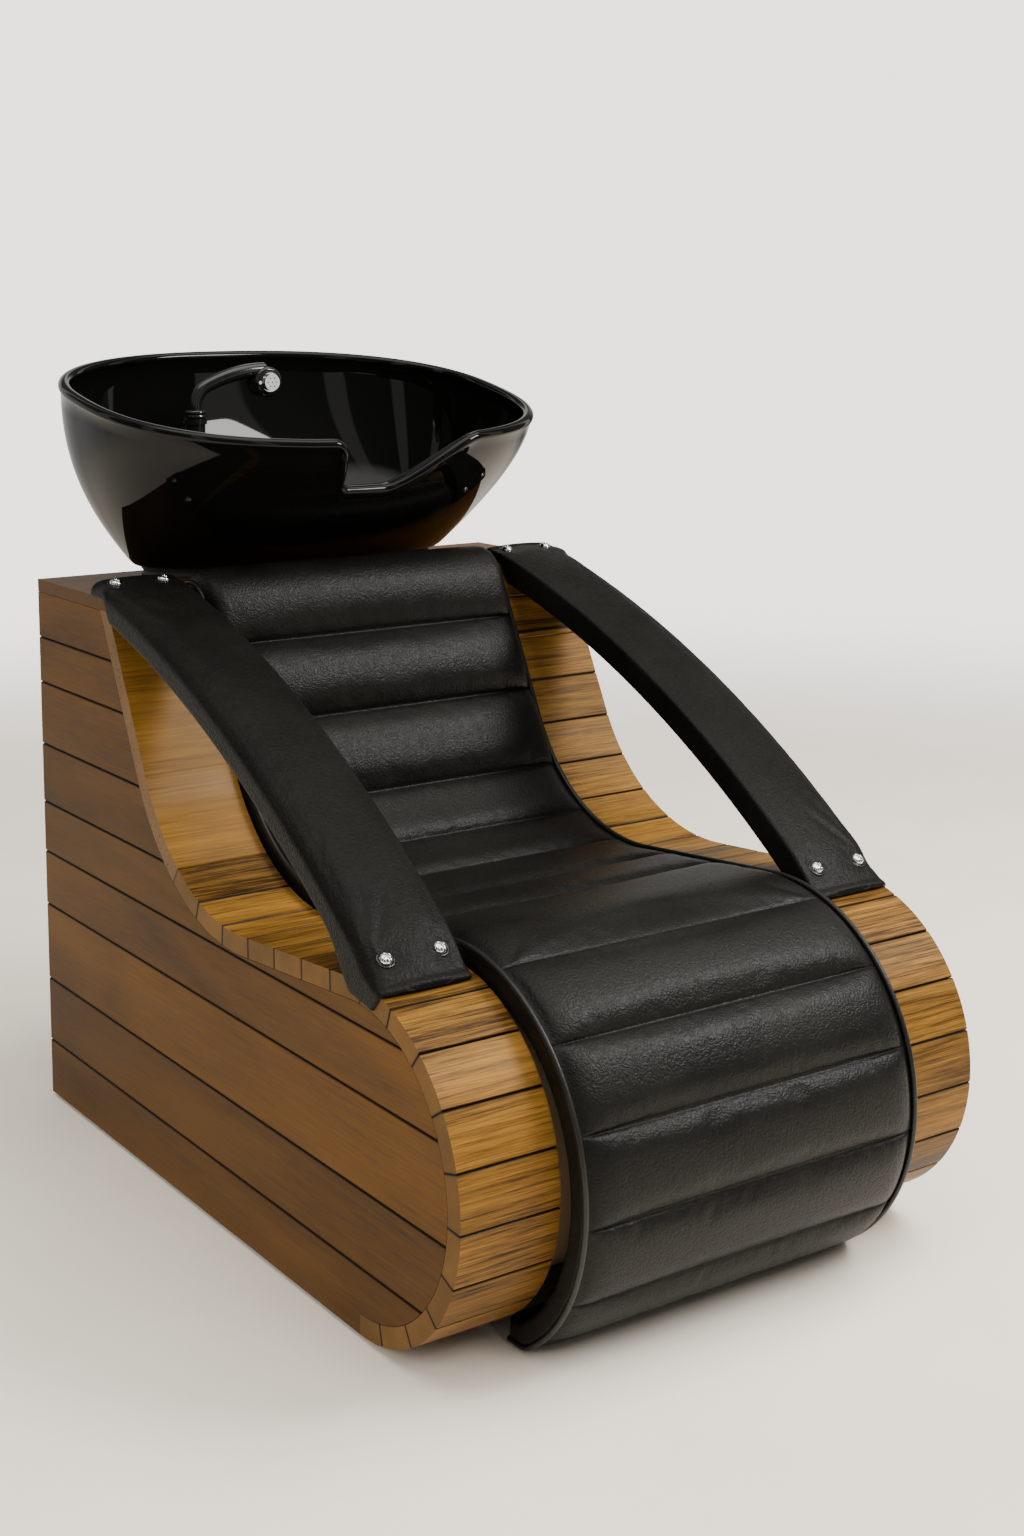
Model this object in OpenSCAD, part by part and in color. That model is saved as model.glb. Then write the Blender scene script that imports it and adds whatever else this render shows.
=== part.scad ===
// Salon shampoo backwash unit: a wooden lounge body with two side pods, a channelled leather
// cushion, two padded arm bands and a tilting ceramic bowl with its waste and water fittings.
// Origin: the centre of the four floor anchor holes, on the floor, +Z up, the sitter faces -Y.

/* [Body] */
// Overall width of the wooden body
body_w = 730; // [700:10:760]
// Depth of the wooden body, back face to the front of the nose
body_d = 1054; // [1040:2:1070]
// Height of the deck that carries the bowl
deck_z = 740; // [736:1:744]
// Where the deck's front edge lies, in front of (-) or behind (+) the origin
deck_front = 302; // [298:1:306]
// Width of each side pod
pod_w = 124; // [118:1:128]
// Radius of the rolled nose
nose_r = 200; // [196:1:204]
// Radius of the curve between the back and the seat
curve_r = 260; // [250:1:265]
// Rise of the seat line towards the nose, degrees
seat_rise = 4.5; // [4:0.1:5]
// Lean of the back from vertical, degrees
back_lean = 27; // [26:0.5:28]
// Gap between the wood and the floor
floor_gap = 6; // [5:1:8]

/* [Cladding] */
// Thickness of the staves that wrap the pods
stave_t = 24; // [22:1:26]
// Width of one stave, measured along the curve
stave_pitch = 64; // [60:1:70]
// Thickness of the side planks
plank_t = 12; // [10:1:14]
// Thickness of the hidden carcass panels and of the back
panel_t = 18; // [16:1:20]
// Thickness of the deck board
deck_t = 17; // [15:1:18]
// Width of the V-groove at each joint
groove = 4; // [3:0.5:5]

/* [Cushion] */
// Depth of the seat shell below the pods' surface
shell_drop = 35; // [32:1:38]
// Thickness of the bent seat shell
shell_t = 12; // [10:1:14]
// How far the seat and back pad stand proud of the pods
pad_proud = 20; // [18:1:22]
// Radius of the pad where it rolls over the nose
pad_nose_r = 228; // [226:1:230]
// Radius of the roll at the top of the back pad
roll_r = 52; // [50:1:54]

/* [Arms] */
// Width of an arm pad
arm_w = 116; // [110:1:118]
// Thickness of an arm pad
arm_t = 38; // [34:1:40]
// Width of the steel bar inside an arm pad
bar_w = 90; // [86:1:94]
// Thickness of the steel bar
bar_t = 5; // [4:1:6]

/* [Bowl] */
// Half the width of the bowl at its rim
rim_a = 336; // [325:1:345]
// Half the depth of the rim in front of its centre
rim_bf = 271; // [265:1:275]
// Half the depth of the rim behind its centre
rim_bb = 234; // [228:1:240]
// Height of the rim at its centre
rim_z = 988; // [980:1:995]
// Slope of the rim, rise over run towards the back
rim_slope = 0.2; // [0.16:0.01:0.22]
// Half the width of the bowl's foot
foot_a = 240; // [230:1:245]
// Depth of the bowl's foot in front of its centre
foot_bf = 94; // [88:1:96]
// Depth of the bowl's foot behind its centre
foot_bb = 46; // [42:1:46]
// Thickness of the ceramic wall
wall_t = 10; // [9:0.5:12]
// Depth of the neck rest cut into the front of the rim
neck_depth = 66; // [60:1:68]
// Rounding of the neck rest's steep side
neck_r = 16; // [14:1:18]
// Run of the neck rest's gentle side
neck_run = 140; // [125:5:145]

/* [Tilt] */
// Diameter of the two tilt pivots
pivot_d = 10; // [8:1:12]
// Height of the tilt axis
pivot_z = 718; // [716:1:719]
// Outside diameter of the drain body
drain_d = 44; // [40:1:46]

/* [Hidden] */

// Centres of the bowl's rim, foot and drain, and the height of its foot
rim_y = 450;
foot_y = 480;
drain_y = 462;
foot_z = deck_z + 12;

// Display colours
walnut = [0.36, 0.22, 0.12];
teak = [0.55, 0.37, 0.2];
ply = [0.72, 0.58, 0.4];
leather = [0.06, 0.06, 0.06];
glaze = [0.02, 0.02, 0.02];
steel = [0.62, 0.63, 0.64];
chrome = [0.8, 0.8, 0.82];
black = [0.1, 0.1, 0.1];
brass = [0.7, 0.55, 0.3];
hot_red = [0.7, 0.15, 0.1];
cold_blue = [0.1, 0.25, 0.6];

// Facets on round things
fine = 96;
round_fn = 48;

// Body planes
back_y = body_d / 2;
half_w = body_w / 2;
inner_x = half_w - pod_w;
deck_under = deck_z - deck_t;

// Heights of the joints between the side planks
plank_joints = [83, 173, 281, 357, 428, 510, 597, 660];
// Small gap that keeps neighbouring boards apart
board_gap = 0.6;

// The side profile: a back line and a seat line joined by an arc, then the nose circle.
// Every point is [y, z]; "off" moves the profile outwards.
nose_c = [nose_r - body_d / 2, floor_gap + nose_r];
back_p = [deck_front, deck_z];
seat_n = [sin(seat_rise), cos(seat_rise)];
back_n = [-cos(back_lean), sin(back_lean)];
function dot(a, b) = a[0] * b[0] + a[1] * b[1];
// The point whose distances to the seat line and the back line are ds and db
function meet(ds, db) =
    let (s = ds + dot(nose_c, seat_n) + nose_r, b = db + dot(back_p, back_n))
    let (det = seat_n[0] * back_n[1] - seat_n[1] * back_n[0])
    [(s * back_n[1] - b * seat_n[1]) / det, (seat_n[0] * b - back_n[0] * s) / det];
curve_c = meet(curve_r, curve_r);
// The point of the back line moved out by off, at height z
function back_at(off, z) =
    [(dot(back_p, back_n) + off - z * back_n[1]) / back_n[0], z];
// Angles of the tangent points as seen from the arc's centre and the nose's centre
seat_ang = 90 - seat_rise;
back_ang = 180 - back_lean;
function polar(c, r, a) = [c[0] + r * cos(a), c[1] + r * sin(a)];

// Extrudes a [y, z] outline along X
module along_x(x0, x1) {
    translate([x0, 0, 0])
        rotate([90, 0, 90])
            linear_extrude(x1 - x0)
                children();
}

// Builds a child on both sides of the body
module both_sides() {
    children();
    mirror([1, 0, 0]) children();
}

// A cylinder lying along X, from x0 to x1
module rod_x(d, x0, x1, y, z) {
    translate([x0, y, z])
        rotate([0, 90, 0])
            cylinder(d = d, h = x1 - x0, $fn = round_fn);
}

// A cylinder lying along Y, from y0 to y1
module rod_y(d, y0, y1, x, z) {
    translate([x, y0, z])
        rotate([-90, 0, 0])
            cylinder(d = d, h = y1 - y0, $fn = round_fn);
}

// A standing cylinder from z0 to z1
module rod_z(d, z0, z1, x = 0, y = 0) {
    translate([x, y, z0])
        cylinder(d = d, h = z1 - z0, $fn = round_fn);
}

// A bent pipe in the YZ plane round (x, y, z), from an angle on through a turn
module elbow(d, bend, x, y, z, from, turn) {
    translate([x, y, z])
        rotate([90, 0, 90])
            rotate([0, 0, from])
                rotate_extrude(angle = turn, $fn = fine)
                    translate([bend, 0]) circle(d = d, $fn = round_fn);
}

// A tube swept along points that lie in one plane with the given normal
module tube(path, d, normal, sides = 12) {
    last = len(path) - 1;
    rings = [for (i = [0 : last])
        let (
            t = path[min(i + 1, last)] - path[max(i - 1, 0)],
            n = cross(normal, t / norm(t))
        )
        for (k = [0 : sides - 1])
            path[i] + d / 2 * (cos(360 * k / sides) * normal + sin(360 * k / sides) * n)];
    polyhedron(rings, concat(
        [[for (k = [sides - 1 : -1 : 0]) k]],
        [for (i = [0 : last - 1], k = [0 : sides - 1])
            let (a = i * sides + k, b = i * sides + (k + 1) % sides)
            [b, b + sides, a + sides, a]],
        [[for (k = [0 : sides - 1]) last * sides + k]]
    ));
}

// A box given by its two corners
module block(lo, hi) {
    translate(lo) cube(hi - lo);
}

// The profile as a filled outline; (c, r) is the nose circle it ends in
module outline(off, top, bottom = floor_gap, rear = back_y, c = nose_c, r = 0) {
    nose = r > 0 ? r : nose_r + off;
    union() {
        difference() {
            polygon([
                [rear, bottom], [rear, top], back_at(off, top),
                polar(curve_c, curve_r - off, back_ang - 180), curve_c,
                polar(curve_c, curve_r - off, seat_ang - 180),
                polar(c, nose, seat_ang), c, [c[0], bottom]
            ]);
            translate(curve_c) circle(r = curve_r - off, $fn = 2 * fine);
        }
        translate(c) circle(r = nose, $fn = 2 * fine);
    }
}

// ---- Cladding -----------------------------------------------------------------------------

// A position "s" runs along the profile from the first nose joint up to the deck;
// the result is [point, angle of the outward normal].
first_joint = 110;
nose_part = (first_joint - seat_ang) * PI / 180 * nose_r;
seat_from = polar(nose_c, nose_r, seat_ang);
seat_to = polar(curve_c, curve_r, seat_ang - 180);
seat_part = norm(seat_to - seat_from);
curve_part = (back_ang - seat_ang) * PI / 180 * curve_r;
back_from = polar(curve_c, curve_r, back_ang - 180);
function along(s) =
    s < nose_part
        ? let (a = first_joint - s / nose_r * 180 / PI) [polar(nose_c, nose_r, a), a]
        : s < nose_part + seat_part
            ? [seat_from + (s - nose_part) * [seat_n[1], -seat_n[0]], seat_ang]
            : s < nose_part + seat_part + curve_part
                ? let (a = seat_ang - 180 + (s - nose_part - seat_part) / curve_r * 180 / PI)
                  [polar(curve_c, curve_r, a), a + 180]
                : [back_from + (s - nose_part - seat_part - curve_part) * [back_n[1], -back_n[0]],
                   back_ang];

// Joints round the nose and up the curve
nose_step = stave_pitch / nose_r * 180 / PI;
nose_joints = [for (a = [first_joint : nose_step : 262]) [polar(nose_c, nose_r, a), a]];
skin_length = nose_part + seat_part + curve_part + norm(back_at(0, deck_under) - back_from);
curve_joints = [for (s = [stave_pitch : stave_pitch : skin_length - 25]) along(s)];
// The bent liner of the left pod starts at this joint and runs up to the deck
liner_joint = 8;

// The saw cut and V-groove of one joint
module kerf(joint) {
    translate(joint[0])
        rotate(joint[1]) {
            translate([-stave_t - 5, -board_gap / 2]) square([stave_t + 10, board_gap]);
            rotate(45) square(groove / sqrt(2), center = true);
        }
}

// The skin of staves, as an outline, cut at the joints
module skin(joints) {
    difference() {
        outline(0, deck_under);
        outline(-stave_t, deck_under + 1, bottom = floor_gap - 1, rear = back_y + 1);
        for (j = joints) kerf(j);
    }
}

// Staves of the left pod: round the nose and along the seat
module left_staves() {
    color(teak)
        difference() {
            along_x(-half_w, -inner_x)
                difference() {
                    skin(concat(nose_joints, curve_joints));
                    liner_region();
                }
            mirror([1, 0, 0]) arm_screw_holes(arm_hole_d);
        }
}

// The part of the profile covered by the bent liner
module liner_region() {
    top = deck_z + 10;
    edge = curve_joints[liner_joint - 1];
    polygon([
        edge[0], polar(edge[0], -60, edge[1]), [back_y, 300], [back_y, top],
        [deck_front - 60, top], polar(edge[0], 60, edge[1])
    ]);
}

// Bent board that lines the upper curve of the left pod
module left_bent_liner() {
    color(teak)
        along_x(-half_w, -inner_x)
            intersection() {
                skin([curve_joints[liner_joint - 1]]);
                liner_region();
            }
}

// Staves of the right pod: from the floor to the deck
module right_staves() {
    color(teak)
        difference() {
            along_x(inner_x, half_w) skin(concat(nose_joints, curve_joints));
            arm_screw_holes(arm_hole_d);
        }
}

// Horizontal planks on the outer face of a pod
module side_planks() {
    levels = concat([floor_gap - board_gap], plank_joints, [deck_under]);
    difference() {
        along_x(half_w - plank_t, half_w)
            difference() {
                outline(-stave_t - board_gap, deck_under - board_gap);
                for (z = plank_joints)
                    translate([-body_d, z - board_gap / 2]) square([2 * body_d, board_gap]);
            }
        for (z = plank_joints)
            translate([half_w, 0, z])
                rotate([0, 45, 0])
                    cube([groove / sqrt(2), 2 * body_d, groove / sqrt(2)], center = true);
    }
}

module right_side_planks() {
    color(walnut) side_planks();
}

module left_side_planks() {
    color(walnut) mirror([1, 0, 0]) side_planks();
}

// ---- Carcass ------------------------------------------------------------------------------

// Hidden panel behind the side planks
module outer_panel() {
    difference() {
        along_x(half_w - plank_t - panel_t, half_w - plank_t)
            outline(-stave_t - board_gap, deck_under - board_gap);
        arm_screw_holes(arm_hole_d);
    }
}

module right_outer_panel() {
    color(ply) outer_panel();
}

module left_outer_panel() {
    color(ply) mirror([1, 0, 0]) outer_panel();
}

// Panel on the cushion side of a pod
module inner_panel() {
    along_x(inner_x, inner_x + panel_t)
        outline(-stave_t - board_gap, deck_under - board_gap, rear = back_y - panel_t - board_gap);
}

module right_inner_panel() {
    color(ply) inner_panel();
}

module left_inner_panel() {
    color(ply) mirror([1, 0, 0]) inner_panel();
}

// Deck board, notched in front for the cushion and open round the tilt pivots
open_w = 210;
open_y = [drain_y - 52, drain_y + 40];
module deck_board() {
    notch_y = back_at(-shell_drop, deck_z)[0];
    color(walnut)
        difference() {
            along_x(-half_w, half_w)
                polygon([
                    back_at(0, deck_under), back_at(0, deck_z), [back_y, deck_z],
                    [back_y, deck_under]
                ]);
            block([-inner_x, 0, deck_under - 1], [inner_x, notch_y, deck_z + 1]);
            block([-open_w / 2, open_y[0], deck_under - 1], [open_w / 2, open_y[1], deck_z + 1]);
            both_sides() arm_screw_holes(arm_hole_d);
        }
}

// Back panel with the service opening, the mixer's hole and plank grooves
door = [316, 406];
door_z = 112;
door_gap = 2;
panel_w = half_w - plank_t - panel_t - board_gap;
module back_grooves() {
    for (z = plank_joints)
        translate([0, back_y, z])
            rotate([45, 0, 0])
                cube([body_w, groove / sqrt(2), groove / sqrt(2)], center = true);
}

module back_panel() {
    color(walnut)
        difference() {
            block([-panel_w, back_y - panel_t, floor_gap], [panel_w, back_y, deck_under - board_gap]);
            block(
                [-door[0] / 2 - door_gap, back_y - panel_t - 1, door_z - door_gap],
                [door[0] / 2 + door_gap, back_y + 1, door_z + door[1] + door_gap]
            );
            rod_y(mixer_neck_d + 1, back_y - panel_t - 1, back_y + 1, mixer_x, mixer_z);
            back_grooves();
        }
}

// Service door and its furniture; the hinge axis runs up the left edge, behind the back face
hinge_x = -door[0] / 2 - 1;
hinge_y = back_y + 4;
hinge_d = 8;
hinge_pin_d = 4;
hinge_heights = [150, 420];
knuckle_h = 20;
leaf_w = 28;
leaf_t = 2;
knob_d = 26;
knob_stem_d = 12;
knob_screw_d = 5;
knob_x = door[0] / 2 - 30;
knob_z = door_z + door[1] / 2;
catch_size = [20, 16, 50];
module service_door() {
    color(walnut)
        difference() {
            block([-door[0] / 2, back_y - panel_t, door_z], [door[0] / 2, back_y, door_z + door[1]]);
            back_grooves();
            rod_y(knob_screw_d, back_y - panel_t - 1, back_y + 1, knob_x, knob_z);
            for (z = hinge_heights)
                rod_z(hinge_d + 1, z - 1, z + 3 * knuckle_h + 1, hinge_x, hinge_y);
        }
}

// Clearance behind a hinge leaf, and between two knuckles
hinge_play = 0.2;
knuckle_play = 0.3;
// One hinge knuckle with its leaf; side is -1 for the panel's leaf and 1 for the door's
module knuckle(side, z0, z1) {
    difference() {
        union() {
            rod_z(hinge_d, z0, z1, hinge_x, hinge_y);
            block(
                [side > 0 ? hinge_x : hinge_x - leaf_w, back_y + hinge_play, z0],
                [side > 0 ? hinge_x + leaf_w : hinge_x, back_y + hinge_play + leaf_t, z1]
            );
        }
        rod_z(hinge_pin_d + (side > 0 ? 0.1 : 0), z0 - 1, z1 + 1, hinge_x, hinge_y);
    }
}

module door_hinge_leaves() {
    color(steel)
        for (z = hinge_heights) {
            knuckle(-1, z, z + knuckle_h);
            knuckle(-1, z + 2 * knuckle_h, z + 3 * knuckle_h);
        }
}

module door_hinge_plates() {
    color(steel)
        for (z = hinge_heights)
            knuckle(1, z + knuckle_h + knuckle_play, z + 2 * knuckle_h - knuckle_play);
}

module door_hinge_pins() {
    color(chrome)
        for (z = hinge_heights)
            rod_z(hinge_pin_d, z, z + 3 * knuckle_h, hinge_x, hinge_y);
}

module door_knob() {
    color(chrome)
        union() {
            rod_y(knob_screw_d, back_y - panel_t + 2, back_y, knob_x, knob_z);
            rod_y(knob_stem_d, back_y, back_y + 10, knob_x, knob_z);
            rod_y(knob_d, back_y + 10, back_y + 20, knob_x, knob_z);
        }
}

module magnet_catch() {
    x = door[0] / 2 + 4;
    color(black)
        block(
            [x, back_y - panel_t - catch_size[1], knob_z - catch_size[2] / 2],
            [x + catch_size[0], back_y - panel_t, knob_z + catch_size[2] / 2]
        );
}

// Rails that tie the two pods together, as [y, z, height]
rails = [[-200, 20, 70], [180, 20, 70], [372, 620, 80]];
module cross_rails() {
    w = inner_x - board_gap;
    color(ply)
        for (r = rails)
            block([-w, r[0], r[1]], [w, r[0] + panel_t, r[1] + r[2]]);
}

// Hardwood blocks that take the arm screws
cavity_lo = inner_x + panel_t + board_gap;
cavity_hi = half_w - plank_t - panel_t - board_gap;
// Corner and size of the front and the rear block, in the YZ plane
front_block = [[-410, 300], [120, 150]];
rear_block = [[300, 660], [70, 80]];
module fixing_blocks() {
    color(ply)
        both_sides()
            difference() {
                along_x(cavity_lo, cavity_hi)
                    intersection() {
                        outline(-stave_t - 2 * board_gap, deck_under - board_gap);
                        union() {
                            translate(front_block[0]) square(front_block[1]);
                            translate(rear_block[0]) square(rear_block[1]);
                        }
                    }
                arm_screw_holes(arm_screw_d);
            }
}

// Blocks at the foot of the pods, and the levelling feet screwed up into them
foot_x = (cavity_lo + cavity_hi) / 2;
foot_ys = [-270, 460];
foot_stud_d = 10;
foot_pad_d = 46;
foot_block_half = 36;
foot_block_top = 56;
module foot_blocks() {
    color(ply)
        both_sides()
            for (y = foot_ys)
                difference() {
                    block(
                        [cavity_lo, y - foot_block_half, floor_gap],
                        [cavity_hi, y + foot_block_half, foot_block_top]
                    );
                    rod_z(foot_stud_d, floor_gap - 1, foot_block_top + 1, foot_x, y);
                }
}

module levelling_feet() {
    color(black)
        both_sides()
            for (y = foot_ys)
                union() {
                    rod_z(foot_pad_d, 0, floor_gap - 0.5, foot_x, y);
                    rod_z(foot_stud_d, floor_gap - 0.5, foot_block_top - 6, foot_x, y);
                }
}

// Brackets that bolt the body to the floor
anchor_x = 205;
anchor_y = 250;
anchor_hole_d = 13;
bracket_t = 5;
bracket_half = 30;
bracket_h = 75;
module anchor_brackets() {
    face = inner_x - 0.5;
    color(steel)
        both_sides()
            for (y = [-anchor_y, anchor_y])
                difference() {
                    union() {
                        block([anchor_x - 26, y - bracket_half, 0], [face, y + bracket_half, bracket_t]);
                        block([face - bracket_t, y - bracket_half, 0], [face, y + bracket_half, bracket_h]);
                    }
                    rod_z(anchor_hole_d, -1, bracket_t + 1, anchor_x, y);
                }
}

// ---- Seat ---------------------------------------------------------------------------------

// Bent shell that carries the cushion between the pods
shell_foot = 70;
module seat_shell() {
    color(ply)
        along_x(-inner_x + 1, inner_x - 1)
            difference() {
                outline(-shell_drop, deck_under - 1, bottom = shell_foot);
                outline(-shell_drop - shell_t, deck_z, bottom = 0, rear = back_y + 1);
                translate([-body_d, 0]) square([2 * body_d, shell_foot]);
            }
}

// The cushion: a pad over the shell that rolls over the nose and over the deck's edge
pad_gap = 0.4;
pad_floor = 5;
// How far the middle of the top roll lies below the deck's edge, along the back
roll_down = 20;
pad_nose_c = nose_c + (pad_proud + nose_r - pad_nose_r) * seat_n - 9 * [seat_n[1], -seat_n[0]];
roll_c = back_p + (pad_proud - roll_r) * back_n + roll_down * [-back_n[1], back_n[0]];
pad_tuck = -425;
pad_half = inner_x - 3;
module cushion() {
    color(leather)
        along_x(-pad_half, pad_half)
            difference() {
                union() {
                    outline(pad_proud, roll_c[1], bottom = pad_floor, c = pad_nose_c, r = pad_nose_r);
                    translate(roll_c) circle(r = roll_r, $fn = fine);
                }
                outline(-shell_drop + pad_gap, deck_z + pad_gap, bottom = -50, rear = back_y + 50);
                translate([-body_d, -100]) square([2 * body_d, 100 + pad_floor]);
                translate([pad_tuck, -100]) square([body_d, 200]);
            }
}

// ---- Arms ---------------------------------------------------------------------------------

// Each arm band is an arc from the deck's edge down to the nose; slopes are in degrees
arm_rear = [340, 762];
arm_front_y = -385;
arm_slopes = [12.2, 40];
arm_r = (arm_rear[0] - arm_front_y) / (sin(arm_slopes[1]) - sin(arm_slopes[0]));
arm_c = arm_rear - arm_r * [-sin(arm_slopes[0]), cos(arm_slopes[0])];
arm_mid = half_w + 2 - arm_w / 2;
bar_depth = 7;
arm_screw_d = 5;
arm_hole_d = 5.5;
arm_screw_x = [arm_mid - 34, arm_mid + 34];
arm_screw_y = [318, -352];
screw_head_d = 17;
screw_head_h = 6;
screw_length = 48;

// A band of the arm's arc between two depths and two slopes
module arm_band(depth, thick, from, to) {
    far = 2 * arm_r;
    intersection() {
        difference() {
            translate(arm_c) circle(r = arm_r - depth, $fn = 6 * fine);
            translate(arm_c) circle(r = arm_r - depth - thick, $fn = 6 * fine);
        }
        polygon([arm_c, polar(arm_c, far, 90 + from), polar(arm_c, far, 90 + to)]);
    }
}

// Places a child on the arm's top face at y, with +Z along the outward normal
module on_arm(x, y) {
    a = asin((arm_c[0] - y) / arm_r);
    translate([x, y, arm_c[1] + arm_r * cos(a)])
        rotate([a, 0, 0])
            children();
}

module arm_screw_holes(d) {
    for (x = arm_screw_x, y = arm_screw_y)
        on_arm(x, y)
            translate([0, 0, -screw_length - 4])
                cylinder(d = d, h = screw_length + 30, $fn = round_fn);
}

module arm_pad() {
    difference() {
        along_x(arm_mid - arm_w / 2, arm_mid + arm_w / 2)
            difference() {
                arm_band(0, arm_t, arm_slopes[0], arm_slopes[1]);
                outline(0.3, deck_z + 0.3);
            }
        along_x(arm_mid - bar_w / 2 - 0.2, arm_mid + bar_w / 2 + 0.2)
            arm_band(bar_depth - 0.2, bar_t + 0.4, bar_slopes[0] - 0.1, bar_slopes[1] + 0.1);
        for (x = arm_screw_x, y = arm_screw_y)
            on_arm(x, y)
                translate([0, 0, -60])
                    cylinder(d = arm_hole_d, h = 90, $fn = round_fn);
    }
}

bar_slopes = [arm_slopes[0] + 0.3, arm_slopes[1] - 0.9];
module arm_bar() {
    difference() {
        along_x(arm_mid - bar_w / 2, arm_mid + bar_w / 2)
            arm_band(bar_depth, bar_t, bar_slopes[0], bar_slopes[1]);
        arm_screw_holes(arm_hole_d);
    }
}

module right_arm_pad() {
    color(leather) arm_pad();
}

module left_arm_pad() {
    color(leather) mirror([1, 0, 0]) arm_pad();
}

module right_arm_bar() {
    color(steel) arm_bar();
}

module left_arm_bar() {
    color(steel) mirror([1, 0, 0]) arm_bar();
}

// Domed screws through the arms into the body
module arm_screws() {
    color(chrome)
        both_sides()
            for (x = arm_screw_x, y = arm_screw_y)
                on_arm(x, y)
                    union() {
                        intersection() {
                            translate([0, 0, screw_head_h + 0.3 - screw_head_d * 0.72])
                                sphere(d = screw_head_d * 1.44, $fn = round_fn);
                            translate([0, 0, 0.3])
                                cylinder(d = screw_head_d, h = screw_head_h, $fn = round_fn);
                        }
                        translate([0, 0, -screw_length])
                            cylinder(d = arm_screw_d, h = screw_length + 1, $fn = round_fn);
                    }
}

// ---- Bowl ---------------------------------------------------------------------------------

// Powers of the rim's outline and of the wall's rise, in front of the centre and behind it
rim_power = [2.55, 2.3];
wall_power = [1.53, 2.5];
// Slope of the neck rest's steep side, and the ends of its flat bottom
neck_steep = 80;
neck_flat = [-52, 8];
// Extra thickness of the lip at the neck rest
neck_extra = 14;

function smooth(t) = let (k = min(1, max(0, t))) k * k * (3 - 2 * k);

// The rim is a list of stations [kx, ky, drop]: a point of a unit superellipse and how far the
// neck rest lowers the rim there. The neck rest comes first, from its steep side to its gentle one.
neck_in = neck_r * (1 - cos(neck_steep));
neck_side = 2 * neck_r * sin(neck_steep) + (neck_depth - 2 * neck_in) / tan(neck_steep);
neck_line = concat(
    [for (t = [0 : 16 : neck_steep])
        [neck_flat[0] - neck_side + neck_r * sin(t), neck_r * (1 - cos(t))]],
    [for (t = [neck_steep : -16 : 0])
        [neck_flat[0] - neck_r * sin(t), neck_depth - neck_r * (1 - cos(t))]],
    [for (x = [neck_flat[0] + 15 : 15 : neck_flat[1]]) [x, neck_depth]],
    [for (t = [1 / 12 : 1 / 12 : 1]) [neck_flat[1] + neck_run * t, neck_depth * (1 - smooth(t))]]
);
function front_ky(kx) = -pow(1 - pow(abs(kx), rim_power[0]), 1 / rim_power[0]);
function station(a) =
    let (n = rim_power[sin(a) > 0 ? 1 : 0])
    let (k = pow(pow(abs(cos(a)), n) + pow(abs(sin(a)), n), -1 / n))
    [k * cos(a), k * sin(a), 0];
neck_stations = [for (p = neck_line) [p[0] / rim_a, front_ky(p[0] / rim_a), p[1]]];
function bearing(k) = atan2(k[1], k[0]);
rim_step = 5;
rim_from = bearing(neck_stations[len(neck_stations) - 1]);
rim_to = bearing(neck_stations[0]) + 360;
rim_count = floor((rim_to - rim_from) / rim_step);
stations = concat(
    neck_stations,
    [for (i = [1 : rim_count - 1]) station(rim_from + (rim_to - rim_from) * i / rim_count)]
);

// Point of the bowl's wall at a station and a share v of its height, e inside the outer face
function wall(k, v, e) =
    let (
        back = k[1] > 0,
        depth = back ? rim_bb : rim_bf,
        foot = back ? foot_bb : foot_bf,
        high = rim_z + rim_slope * depth * k[1] - foot_z,
        u = v * (1 - k[2] / high),
        turn = smooth((sin(bearing(k)) + 0.6) / 1.2),
        power = wall_power[0] * (1 - turn) + wall_power[1] * turn,
        w = 1 - pow(1 - u, power),
        inset = e + (e > 0 ? neck_extra * k[2] / neck_depth * pow(v, 4) : 0),
        x = (foot_a - e) * k[0] * (1 - w) + (rim_a - inset) * k[0] * w,
        y = (foot_y + (foot - e) * k[1]) * (1 - w) + (rim_y + (depth - inset) * k[1]) * w
    )
    [x, y, foot_z + high * u];
// Point of the lip, "in" inside the outer face and "up" from the rim, square to the rim's line
function lip(i, in, up) =
    let (
        n = len(stations),
        k = stations[i],
        run = wall(stations[(i + 1) % n], 1, 0) - wall(stations[(i + n - 1) % n], 1, 0),
        t = run / norm(run),
        out = [k[0] / rim_a, k[1] / (k[1] > 0 ? rim_bb : rim_bf), 0],
        o = out - (out * t) * t,
        inset = in + (in > 0 ? neck_extra * k[2] / neck_depth * in / lip_w : 0),
        lift = up < 0 ? up * norm([t[0], t[1]]) : up
    )
    wall(k, 1, 0) - inset * o / norm(o) + lift * cross(o / norm(o), t);
// Point of the floor, a share s of the way from the drain to the foot of the wall
function floor_pt(k, s, lift) =
    let (p = wall(k, 0.06, wall_t + 6))
    [p[0] * s, drain_y + (p[1] - drain_y) * s, foot_z + lift];

// Width of the rolled lip, and its section as [in, up]
lip_w = 14;
lip_section = [
    [-2, -9], [-3, -5], [-2.5, 0], [0, 4], [4, 6.5], [8, 6.5], [12, 4], [lip_w, 0], [lip_w, -5], [13, -9]
];
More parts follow.
